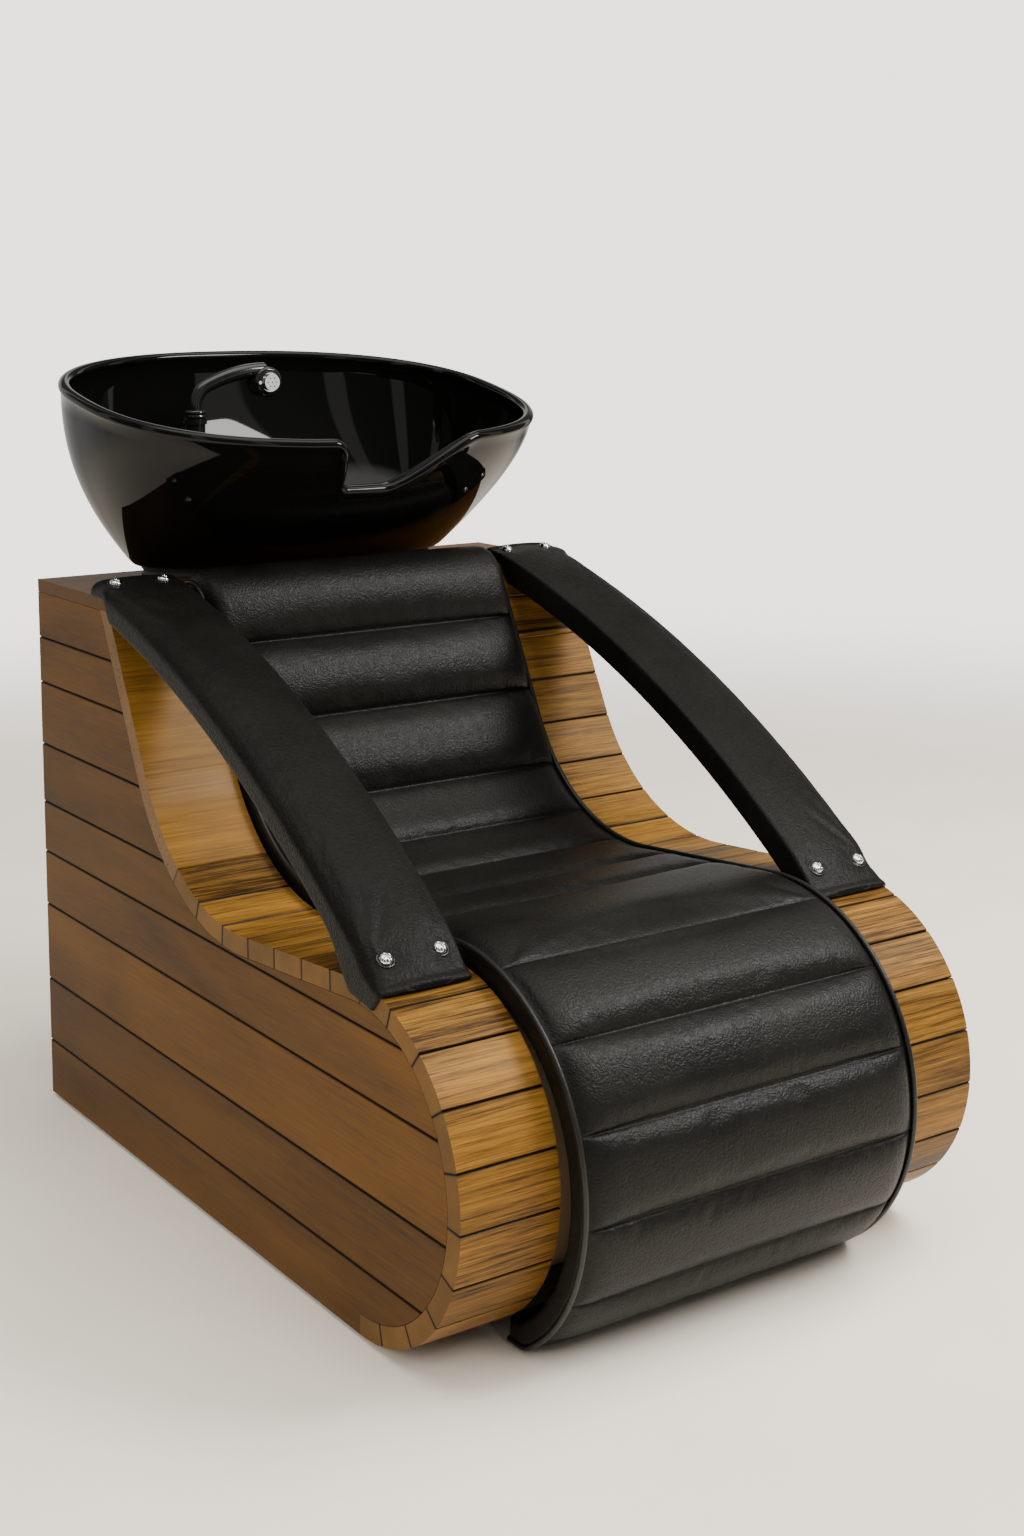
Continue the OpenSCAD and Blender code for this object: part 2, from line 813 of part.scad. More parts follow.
// Outer wall and inner wall, as [share of height, inset]
outer_wall = [
    [0, 9], [0.015, 2], [0.06, 0], [0.13, 0], [0.22, 0], [0.34, 0], [0.47, 0], [0.6, 0],
    [0.73, 0], [0.83, 0], [0.9, 0]
];
inner_wall = [
    [0.9, wall_t + 1], [0.83, wall_t], [0.73, wall_t], [0.6, wall_t], [0.47, wall_t],
    [0.34, wall_t], [0.22, wall_t], [0.13, wall_t], [0.08, wall_t + 2]
];
bowl_floor = [[0.97, 11.5], [0.7, 10.5], [0.35, 9.5]];
module bowl() {
    n = len(stations);
    rings = concat(
        [for (r = outer_wall) [for (k = stations) wall(k, r[0], r[1])]],
        [for (r = lip_section) [for (i = [0 : n - 1]) lip(i, r[0], r[1])]],
        [for (r = inner_wall) [for (k = stations) wall(k, r[0], r[1])]],
        [for (r = bowl_floor) [for (k = stations) floor_pt(k, r[0], r[1])]]
    );
    m = len(rings);
    points = concat([for (r = rings, p = r) p], [[0, foot_y, foot_z], [0, drain_y, foot_z + 9]]);
    faces = concat(
        [for (j = [0 : n - 1]) [m * n, j, (j + 1) % n]],
        [for (i = [0 : m - 2], j = [0 : n - 1])
            [i * n + (j + 1) % n, i * n + j, (i + 1) * n + j]],
        [for (i = [0 : m - 2], j = [0 : n - 1])
            [i * n + (j + 1) % n, (i + 1) * n + j, (i + 1) * n + (j + 1) % n]],
        [for (j = [0 : n - 1]) [m * n + 1, (m - 1) * n + (j + 1) % n, (m - 1) * n + j]]
    );
    color(glaze)
        difference() {
            union() {
                polyhedron(points, faces);
                rod_z(boss_d, dock_seat_z - boss_h, dock_seat_z, dock_x, dock_y);
            }
            rod_z(drain_d + 1, foot_z - 2, foot_z + 30, 0, drain_y);
            rod_z(dock_thread_d + 1, foot_z - 10, dock_seat_z + 60, dock_x, dock_y);
        }
}

// ---- Tilt mechanism -----------------------------------------------------------------------

// Two pivots on one axis along X, left and right of the drain
ear_in = 76;
ear_t = 4;
washer_t = 3;
yoke_plate_z = foot_z - 6;
yoke_half_w = 86;
yoke_y = [drain_y - 46, drain_y + 36];
ear_half = 18;
ear_drop = 14;
gasket_t = 2;
// Running clearance of the yoke on its pivots, on the diameter
pivot_play = 0.1;

// Rubber skirt that closes the gap between the deck and the bowl's foot
skirt_in = 10;
skirt_t = 5;
module foot_outline(e) {
    polygon([for (k = stations)
        [(foot_a - e) * k[0], foot_y + ((k[1] > 0 ? foot_bb : foot_bf) - e) * k[1]]]);
}

module tilt_skirt() {
    color(black)
        translate([0, 0, deck_z])
            linear_extrude(foot_z - deck_z)
                difference() {
                    foot_outline(skirt_in);
                    foot_outline(skirt_in + skirt_t);
                }
}

module bowl_gasket() {
    color(black)
        difference() {
            block([-yoke_half_w, yoke_y[0], foot_z - gasket_t], [yoke_half_w, yoke_y[1], foot_z]);
            rod_z(drain_d + 2, foot_z - 3, foot_z + 1, 0, drain_y);
        }
}

// Yoke clamped under the bowl
module tilt_yoke() {
    color(steel)
        difference() {
            union() {
                block(
                    [-yoke_half_w, yoke_y[0], yoke_plate_z],
                    [yoke_half_w, yoke_y[1], foot_z - gasket_t]
                );
                both_sides()
                    block(
                        [ear_in, drain_y - ear_half, pivot_z - ear_drop],
                        [ear_in + ear_t, drain_y + ear_half, foot_z - gasket_t]
                    );
            }
            rod_z(drain_d + 2, yoke_plate_z - 1, foot_z, 0, drain_y);
            both_sides()
                rod_x(pivot_d + pivot_play, ear_in - 1, ear_in + ear_t + 1, drain_y, pivot_z);
        }
}

// Bracket under the deck that holds the pivots
base_plate_z = 686;
base_half = 40;
base_ear_half = 22;
flange_x = 150;
flange_screw_x = 130;
flange_screw_d = 7;
// Space cut in the base round each pivot nut
nut_room = 14;
module tilt_base() {
    x0 = ear_in + ear_t + washer_t;
    color(steel)
        difference() {
            union() {
                both_sides() {
                    block(
                        [x0, drain_y - base_ear_half, base_plate_z],
                        [x0 + ear_t, drain_y + base_ear_half, pivot_z + ear_drop]
                    );
                    block(
                        [x0, drain_y - base_ear_half, deck_under - ear_t],
                        [flange_x, drain_y + base_ear_half, deck_under]
                    );
                }
                block(
                    [-x0 - ear_t, drain_y - base_half, base_plate_z],
                    [x0 + ear_t, drain_y + base_half, base_plate_z + ear_t]
                );
            }
            both_sides() {
                rod_x(pivot_d, x0 - 1, x0 + ear_t + 1, drain_y, pivot_z);
                rod_z(flange_screw_d, deck_under - ear_t - 1, deck_under + 1, flange_screw_x, drain_y);
                block(
                    [x0 + ear_t, drain_y - nut_room, deck_under - ear_t - 1],
                    [x0 + ear_t + nut_room, drain_y + nut_room, deck_under + 1]
                );
            }
            rod_z(drain_d + 18, base_plate_z - 1, base_plate_z + ear_t + 1, 0, drain_y);
        }
}

bolt_head_h = 6;
nut_h = 9;
module pivot_bolts() {
    head = ear_in - 1;
    color(steel)
        both_sides()
            union() {
                rod_x(pivot_d, head, ear_in + 2 * ear_t + washer_t + nut_h + 3, drain_y, pivot_z);
                rod_x(pivot_d + 7, head - bolt_head_h, head, drain_y, pivot_z);
            }
}

module pivot_nuts() {
    x0 = ear_in + 2 * ear_t + washer_t;
    color(steel)
        both_sides()
            difference() {
                translate([x0, drain_y, pivot_z])
                    rotate([0, 90, 0])
                        cylinder(d = pivot_d * 1.6 * 2 / sqrt(3), h = nut_h, $fn = 6);
                rod_x(pivot_d, x0 - 1, x0 + nut_h + 1, drain_y, pivot_z);
            }
}

friction_washer_d = 26;
module friction_washers() {
    x0 = ear_in + ear_t;
    color(black)
        both_sides()
            difference() {
                rod_x(friction_washer_d, x0 + 0.1, x0 + washer_t, drain_y, pivot_z);
                rod_x(pivot_d, x0 - 1, x0 + washer_t + 1, drain_y, pivot_z);
            }
}

// ---- Waste --------------------------------------------------------------------------------

waste_d = 40;
drain_top = foot_z + 13;
drain_tail = 676;
drain_wall = 3;
drain_flange_d = 66;
drain_cup_d = 56;
drain_nut_d = 68;
drain_nut_h = 9;
hose_d = 56;
hose_rib = 7;
trap_z = [300, 420];
trap_y = drain_y - 10;
trap_d = 76;
trap_wall = 4;
trap_ring_d = 84;

// Chrome drain with a flange in the bowl's floor and a tail below the deck
module drain_body() {
    color(chrome)
        difference() {
            union() {
                rod_z(drain_d, drain_tail, drain_top, 0, drain_y);
                rod_z(drain_flange_d, foot_z + 10, drain_top, 0, drain_y);
            }
            rod_z(drain_d - 2 * drain_wall, drain_tail - 1, drain_top + 1, 0, drain_y);
            rod_z(drain_cup_d, drain_top - 1.6, drain_top + 1, 0, drain_y);
        }
}

module drain_nut() {
    color(brass)
        difference() {
            translate([0, drain_y, yoke_plate_z - drain_nut_h])
                cylinder(d = drain_nut_d, h = drain_nut_h, $fn = 6);
            rod_z(drain_d, yoke_plate_z - drain_nut_h - 1, yoke_plate_z + 1, 0, drain_y);
        }
}

// Lift-out strainer that catches hair: a plate with a knob, over a cup with holes
plate_d = 54;
strainer_knob_d = 10;
cup_d = 36;
cup_h = 12;
cup_wall = 3;
cup_hole_d = 5;
cup_hole_r = 11;
module hair_strainer() {
    color(chrome)
        difference() {
            union() {
                rod_z(plate_d, drain_top - 1.4, drain_top + 1.2, 0, drain_y);
                rod_z(strainer_knob_d, drain_top, drain_top + 9, 0, drain_y);
                rod_z(cup_d, drain_top - cup_h, drain_top - 1, 0, drain_y);
            }
            rod_z(cup_d - 2 * cup_wall, drain_top - cup_h - 1, drain_top - 1.4, 0, drain_y);
            for (a = [0 : 45 : 315])
                rod_z(
                    cup_hole_d, drain_top - cup_h - 1, drain_top + 3,
                    cup_hole_r * cos(a), drain_y + cup_hole_r * sin(a)
                );
        }
}

// Corrugated hose between the drain's tail and the trap
module waste_hose() {
    bottom = trap_z[1] - 12;
    color(black)
        difference() {
            union() {
                rod_z(hose_d - 6, bottom, drain_tail + 8, 0, drain_y);
                for (z = [trap_z[1] + 16 : 2 * hose_rib : drain_tail - 12])
                    rod_z(hose_d, z, z + hose_rib, 0, drain_y);
            }
            rod_z(drain_d, bottom - 1, drain_tail + 9, 0, drain_y);
        }
}

// Bottle trap: a lidded cup with a side outlet
outlet_z = trap_z[1] - 50;
module bottle_trap() {
    lid = trap_z[1] - 20;
    color(black)
        difference() {
            union() {
                rod_z(trap_d, trap_z[0], lid, 0, trap_y);
                rod_z(drain_d, lid - 2, trap_z[1] + 12, 0, drain_y);
                rod_z(trap_ring_d, trap_z[0] + 30, trap_z[0] + 44, 0, trap_y);
                rod_y(waste_d + 6, trap_y - 80, trap_y, 0, outlet_z);
            }
            rod_z(trap_d - 2 * trap_wall, trap_z[0] + trap_wall, lid - trap_wall, 0, trap_y);
            rod_z(drain_d - 2 * trap_wall, lid - trap_wall - 1, trap_z[1] + 13, 0, drain_y);
            rod_y(waste_d, trap_y - 81, trap_y, 0, outlet_z);
        }
}

// Outlet pipe: forward from the trap, down to the floor
waste_bend = 50;
waste_run = 70;
waste_wall = 3;
spigot_z = 20;
module waste_outlet() {
    y0 = drain_y - 40;
    color(black)
        difference() {
            waste_pipe(waste_d, y0, spigot_z);
            waste_pipe(waste_d - 2 * waste_wall, y0 + 1, spigot_z - 1);
        }
}

module waste_pipe(d, y0, z1) {
    bend_y = drain_y - 40 - waste_run;
    union() {
        rod_y(d, bend_y, y0, 0, outlet_z);
        elbow(d, waste_bend, 0, bend_y, outlet_z - waste_bend, 90, 90);
        rod_z(d, z1, outlet_z - waste_bend, 0, bend_y - waste_bend);
    }
}

// ---- Shower and water ---------------------------------------------------------------------

dock_x = -111;
dock_y = back_y + 21;
dock_d = 28;
dock_thread_d = 20;
dock_thread_len = 62;
dock_seat_z = 806;
boss_d = dock_d + 14;
boss_h = 26;
dock_top = 950;
hand_d = 20;
head_x = 1;
head_z = 1000;
head_d = 44;
head_t = 34;

// A cylinder on the dock's axis
module dock_ring(d, z0, z1) {
    rod_z(d, z0, z1, dock_x, dock_y);
}

// Post inside the bowl that the hand shower stands in
module shower_dock() {
    color(black)
        difference() {
            union() {
                dock_ring(dock_d, dock_seat_z, dock_top);
                dock_ring(dock_d + 8, dock_seat_z, dock_seat_z + 8);
                dock_ring(dock_d + 5, dock_top - 8, dock_top);
                dock_ring(dock_thread_d, dock_seat_z - dock_thread_len, dock_seat_z + 1);
            }
            dock_ring(hand_d + 0.6, dock_top - 45, dock_top + 1);
        }
}

// Hand shower: stem, collar, arched handle and round head
stem_r = 34;
stem_turn = 65;
handle_c = [dock_x + stem_r, dock_top + 16];
handle_joint = [handle_c[0] - stem_r * cos(stem_turn), handle_c[1] + stem_r * sin(stem_turn)];
arch_r = (head_x - handle_joint[0]) / sin(90 - stem_turn);
arch_c = [head_x, handle_joint[1] - arch_r * sin(stem_turn)];
handle_path = concat(
    [[dock_x, dock_y, dock_top + 8]],
    [for (a = [0 : 13 : stem_turn])
        [handle_c[0] - stem_r * cos(a), dock_y, handle_c[1] + stem_r * sin(a)]],
    [for (a = [stem_turn + 5 : 5 : 90])
        [arch_c[0] - arch_r * cos(a), dock_y, arch_c[1] + arch_r * sin(a)]]
);
module hand_shower() {
    color(black)
        union() {
            dock_ring(hand_d, dock_top - 40, dock_top + 12);
            dock_ring(dock_d + 4, dock_top + 0.3, dock_top + 12);
            tube(handle_path, hand_d - 1, [0, 1, 0]);
            rod_y(head_d, dock_y - head_t / 2, dock_y + head_t / 2, head_x, head_z);
        }
}

nozzle_d = 24;
nozzle_rim_d = 28;
jet_d = 2.4;
jet_r = 7;
module spray_nozzle() {
    y0 = dock_y - head_t / 2;
    color(chrome)
        difference() {
            union() {
                rod_y(nozzle_d, y0 - 9, y0, head_x, head_z);
                rod_y(nozzle_rim_d, y0 - 3, y0, head_x, head_z);
            }
            for (a = [0 : 60 : 300])
                rod_y(jet_d, y0 - 10, y0 - 4, head_x + jet_r * cos(a), head_z + jet_r * sin(a));
            rod_y(jet_d, y0 - 10, y0 - 4, head_x, head_z);
        }
}

// Stop button beside the nozzle; it is pressed into the head
button_travel = 3;
button_d = 5;
button_x = head_x - 18.5;
module spray_button() {
    y0 = dock_y - head_t / 2;
    color(chrome)
        rod_y(button_d, y0 - 7, y0 - button_travel - 0.3, button_x, head_z);
}

// Mixer on the back face, below the bowl's overhang
mixer_x = dock_x;
mixer_z = 610;
mixer_neck_d = 30;
mixer_body_d = 48;
mixer_face = back_y + 34;
mixer_half = [42, 14, 20];
mixer_plate_d = 62;
spout_d = 18;
spout_h = 40;
cap_h = 22;
cap_slot = 12.6;
lever_w = 12;
lever_axis_y = mixer_face + 15;
lever_pin_d = 4;
lever_reach = 82;
inlet_x = [-28, 28];
supply_y = 484;
hose_out_d = 14;
module mixer_body() {
    color(chrome)
        difference() {
            union() {
                block(
                    [mixer_x - mixer_half[0], supply_y - mixer_half[1], mixer_z - mixer_half[2]],
                    [mixer_x + mixer_half[0], back_y - panel_t, mixer_z + mixer_half[2]]
                );
                rod_y(mixer_neck_d, back_y - panel_t, back_y, mixer_x, mixer_z);
                rod_y(mixer_body_d, back_y, mixer_face, mixer_x, mixer_z);
                rod_y(mixer_plate_d, back_y, back_y + 4, mixer_x, mixer_z);
                rod_z(spout_d, mixer_z, mixer_z + spout_h, mixer_x, dock_y);
            }
            rod_z(hose_out_d - 4, mixer_z + mixer_half[2], mixer_z + spout_h + 1, mixer_x, dock_y);
            for (x = inlet_x)
                rod_z(hose_out_d, mixer_z - mixer_half[2] - 1, mixer_z - 8, mixer_x + x, supply_y);
        }
}

// Cap that turns for temperature
module mixer_cap() {
    color(chrome)
        difference() {
            rod_y(mixer_body_d - 3, mixer_face + 0.3, mixer_face + cap_h, mixer_x, mixer_z);
            block(
                [mixer_x - cap_slot / 2, mixer_face + 8, mixer_z - 12],
                [mixer_x + cap_slot / 2, mixer_face + cap_h + 1, mixer_z + 30]
            );
            rod_x(lever_pin_d, mixer_x - 20, mixer_x + 20, lever_axis_y, mixer_z);
        }
}

// Lever that lifts for flow, on a cross pin in the cap
module mixer_lever() {
    color(chrome)
        union() {
            rod_x(lever_w, mixer_x - lever_w / 2, mixer_x + lever_w / 2, lever_axis_y, mixer_z);
            block(
                [mixer_x - lever_w / 2, lever_axis_y, mixer_z - 5],
                [mixer_x + lever_w / 2, mixer_face + lever_reach, mixer_z + 3]
            );
            rod_x(lever_pin_d - 0.1, mixer_x - 19, mixer_x + 19, lever_axis_y, mixer_z);
        }
}

// Stop valves inside the back, with quarter-turn handles
valve_z = 150;
inlet_d = 15;
inlet_wall = 2;
valve_d = 26;
valve_stem_d = 16;
valve_nut_d = 18;
module stop_valve(x) {
    difference() {
        union() {
            rod_z(inlet_d, valve_z - 60, valve_z - 15, x, supply_y);
            rod_z(valve_d, valve_z - 20, valve_z + 20, x, supply_y);
            rod_y(valve_stem_d, supply_y - 26, supply_y, x, valve_z);
            rod_z(valve_nut_d, valve_z + 15, valve_z + 30, x, supply_y);
        }
        rod_z(inlet_d - 2 * inlet_wall, valve_z - 61, valve_z - 15, x, supply_y);
        rod_z(hose_out_d, valve_z + 18, valve_z + 31, x, supply_y);
    }
}

handle_w = 12;
module valve_handle(x) {
    union() {
        rod_y(handle_w, supply_y - 36, supply_y - 26.3, x, valve_z);
        block(
            [x - handle_w / 2, supply_y - 42, valve_z - 8],
            [x + handle_w / 2, supply_y - 36, valve_z + 38]
        );
    }
}

module supply_hose(x) {
    difference() {
        rod_z(hose_out_d, valve_z + 18, mixer_z - 8, x, supply_y);
        rod_z(hose_out_d - 5, valve_z + 17, mixer_z - 7, x, supply_y);
    }
}

module hot_stop_valve() {
    color(brass) stop_valve(mixer_x + inlet_x[0]);
}

module cold_stop_valve() {
    color(brass) stop_valve(mixer_x + inlet_x[1]);
}

module hot_valve_handle() {
    color(hot_red) valve_handle(mixer_x + inlet_x[0]);
}

module cold_valve_handle() {
    color(cold_blue) valve_handle(mixer_x + inlet_x[1]);
}

module hot_hose() {
    color(steel) supply_hose(mixer_x + inlet_x[0]);
}

module cold_hose() {
    color(steel) supply_hose(mixer_x + inlet_x[1]);
}

ferrule_d = hose_out_d + 4;
ferrule_h = 14;
// Braided hose from the mixer up to the dock's tail, with a ferrule at each end
module shower_hose() {
    z0 = mixer_z + spout_h;
    z1 = dock_seat_z - dock_thread_len;
    color(steel)
        union() {
            dock_ring(hose_out_d, z0, z1);
            dock_ring(ferrule_d, z0, z0 + ferrule_h);
            dock_ring(ferrule_d, z1 - ferrule_h, z1);
        }
}

left_side_planks();
right_side_planks();
left_outer_panel();
right_outer_panel();
left_inner_panel();
right_inner_panel();
left_bent_liner();
left_staves();
right_staves();
deck_board();
back_panel();
service_door();
door_hinge_leaves();
door_hinge_pins();
door_hinge_plates();
door_knob();
magnet_catch();
cross_rails();
fixing_blocks();
foot_blocks();
levelling_feet();
anchor_brackets();
seat_shell();
cushion();
left_arm_pad();
right_arm_pad();
left_arm_bar();
right_arm_bar();
arm_screws();
bowl();
bowl_gasket();
tilt_skirt();
tilt_yoke();
tilt_base();
pivot_bolts();
pivot_nuts();
friction_washers();
drain_body();
drain_nut();
hair_strainer();
waste_hose();
bottle_trap();
waste_outlet();
shower_dock();
hand_shower();
spray_nozzle();
spray_button();
mixer_body();
mixer_cap();
mixer_lever();
hot_stop_valve();
cold_stop_valve();
hot_valve_handle();
cold_valve_handle();
hot_hose();
cold_hose();
shower_hose();
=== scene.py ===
"""Looks of the shampoo backwash unit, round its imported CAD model. Metres, +Z up, front at -Y."""
import math

import bmesh
import bpy
import numpy as np
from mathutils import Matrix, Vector


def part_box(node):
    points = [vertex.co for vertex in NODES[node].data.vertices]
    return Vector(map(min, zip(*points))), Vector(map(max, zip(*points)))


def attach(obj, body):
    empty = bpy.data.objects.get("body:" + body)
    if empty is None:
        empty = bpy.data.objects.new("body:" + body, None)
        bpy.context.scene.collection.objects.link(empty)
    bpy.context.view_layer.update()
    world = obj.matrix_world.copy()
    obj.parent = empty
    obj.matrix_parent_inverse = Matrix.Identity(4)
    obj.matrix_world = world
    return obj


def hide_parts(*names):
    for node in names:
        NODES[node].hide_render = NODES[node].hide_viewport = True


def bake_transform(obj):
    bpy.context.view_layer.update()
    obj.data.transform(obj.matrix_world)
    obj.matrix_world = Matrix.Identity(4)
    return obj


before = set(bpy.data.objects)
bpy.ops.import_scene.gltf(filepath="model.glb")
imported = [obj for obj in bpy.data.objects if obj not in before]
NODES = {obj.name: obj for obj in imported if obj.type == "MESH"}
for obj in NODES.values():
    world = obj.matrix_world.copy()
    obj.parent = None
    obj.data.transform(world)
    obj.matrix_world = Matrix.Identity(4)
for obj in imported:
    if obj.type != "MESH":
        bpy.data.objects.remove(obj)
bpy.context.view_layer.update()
MM = 0.001


# ---- Dimensions, in metres ----

body_lo, body_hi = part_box("right_side_planks")
half_w = body_hi.x  # half the width of the wooden body
floor_gap = body_lo.z
back_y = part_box("back_panel")[1].y
deck_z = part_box("deck_board")[1].z
pad_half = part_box("cushion")[1].x  # half the width of the cushion
nose_r = 200 * MM
curve_r = 260 * MM
stave_pitch = 64 * MM
seat_rise = math.radians(4.5)
back_lean = math.radians(27)
deck_front = 302 * MM
first_joint = math.radians(110)  # bearing of the joint where the staves start
plank_joints = [z * MM for z in (83, 173, 281, 357, 428, 510, 597, 660)]

# The side profile in the YZ plane: a back line and a seat line joined by an arc, then the nose
nose_c = np.array([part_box("right_staves")[0].y + nose_r, floor_gap + nose_r])
back_p = np.array([deck_front, deck_z])
seat_n = np.array([math.sin(seat_rise), math.cos(seat_rise)])
back_n = np.array([-math.cos(back_lean), math.sin(back_lean)])
seat_t = np.array([seat_n[1], -seat_n[0]])  # along the seat, towards the back
back_t = np.array([-back_n[1], back_n[0]]) * -1  # up the back


def meet(seat_off, back_off):
    """The point at these distances out of the seat line and the back line."""
    s = seat_off + nose_c @ seat_n + nose_r
    b = back_off + back_p @ back_n
    return np.linalg.solve(np.array([seat_n, back_n]), np.array([s, b]))


curve_c = meet(curve_r, curve_r)


def polar(centre, radius, angle):
    return centre + radius * np.array([math.cos(angle), math.sin(angle)])


# ---- Mesh helpers ----

MERGE_DISTANCE = 0.01 * MM


def add_object(name, data):
    """A new object in the scene."""
    obj = bpy.data.objects.new(name, data)
    bpy.context.scene.collection.objects.link(obj)
    return obj


def mend(mesh, merge=False):
    """Turns the faces outwards; merge first joins points that coincide and drops what collapses."""
    bm = bmesh.new()
    bm.from_mesh(mesh)
    if merge:
        bmesh.ops.remove_doubles(bm, verts=bm.verts, dist=MERGE_DISTANCE)
        bmesh.ops.dissolve_degenerate(bm, dist=MERGE_DISTANCE / 10, edges=bm.edges)
    bmesh.ops.recalc_face_normals(bm, faces=bm.faces)
    bm.to_mesh(mesh)
    bm.free()


def mesh_object(name, verts, faces, smooth=True):
    """A new mesh object at the origin, with its faces turned outwards."""
    mesh = bpy.data.meshes.new(name)
    mesh.from_pydata([tuple(map(float, v)) for v in verts], [], [tuple(map(int, f)) for f in faces])
    mesh.validate()
    mend(mesh)
    mesh.polygons.foreach_set("use_smooth", [smooth] * len(mesh.polygons))
    return add_object(name, mesh)


def ring_faces(rings, sides, closed=False):
    """Quads between neighbouring rings of points; closed joins the last ring to the first."""
    faces = []
    for i in range(rings if closed else rings - 1):
        a, b = i * sides, ((i + 1) % rings) * sides
        for k in range(sides):
            n = (k + 1) % sides
            faces.append((a + k, a + n, b + n, b + k))
    return faces


def fan(verts, faces, ring, sides, corners=None):
    """Closes an end of a tube by a fan round the mean of its corners; returns the hub's number."""
    first, hub = ring * sides, len(verts)
    chosen = [verts[first + k] for k in corners or range(sides)]
    verts.append(tuple(np.mean(chosen, 0)))
    faces += [(hub, first + k, first + (k + 1) % sides) for k in range(sides)]
    return hub


def sweep(name, path, radius, sides=12, radii=None):
    """A round tube along a path, with flat ends."""
    path = [Vector(p) for p in path]
    curve = bpy.data.curves.new(name, "CURVE")
    curve.dimensions = "3D"
    curve.bevel_depth = radius
    curve.bevel_resolution = max(1, sides // 4)
    curve.use_fill_caps = True
    spline = curve.splines.new("POLY")
    spline.points.add(len(path) - 1)
    for i, p in enumerate(path):
        spline.points[i].co = (*p, 1)
        spline.points[i].radius = 1 if radii is None else radii[i]
    return to_mesh(add_object(name, curve))


def lathe(name, profile, centre, axis="Z", count=40, closed=False):
    """A turned solid: profile is (radius, height) along the axis, from one end to the other."""
    verts = []
    for k in range(count):
        a = 2 * math.pi * k / count
        for r, h in profile:
            u, v = r * math.cos(a), r * math.sin(a)
            point = (u, v, h) if axis == "Z" else (u, h, v)
            verts.append(tuple(point[i] + centre[i] for i in range(3)))
    faces = ring_faces(count, len(profile), closed=True)
    if not closed:
        rows = len(profile)
        faces = [f for f in faces
                 if not any({f[i] % rows, f[i - 1] % rows} == {0, rows - 1} for i in range(4))]
    obj = mesh_object(name, verts, faces)
    mend(obj.data, merge=True)
    return obj


def to_mesh(obj):
    """Turns a curve, or a mesh with modifiers, into a plain mesh object of the same name."""
    bpy.context.view_layer.update()
    graph = bpy.context.evaluated_depsgraph_get()
    mesh = bpy.data.meshes.new_from_object(obj.evaluated_get(graph))
    mesh.polygons.foreach_set("use_smooth", [True] * len(mesh.polygons))
    name = obj.name
    bpy.data.objects.remove(obj)
    return add_object(name, mesh)


def subdivide(obj):
    """One round of subdivision, applied."""
    mod = obj.modifiers.new("smooth", "SUBSURF")
    mod.levels = mod.render_levels = 1
    return to_mesh(obj)


def paint(obj, material):
    """Gives the object this material and no other."""
    obj.data.materials.clear()
    obj.data.materials.append(material)


# ---- Materials ----

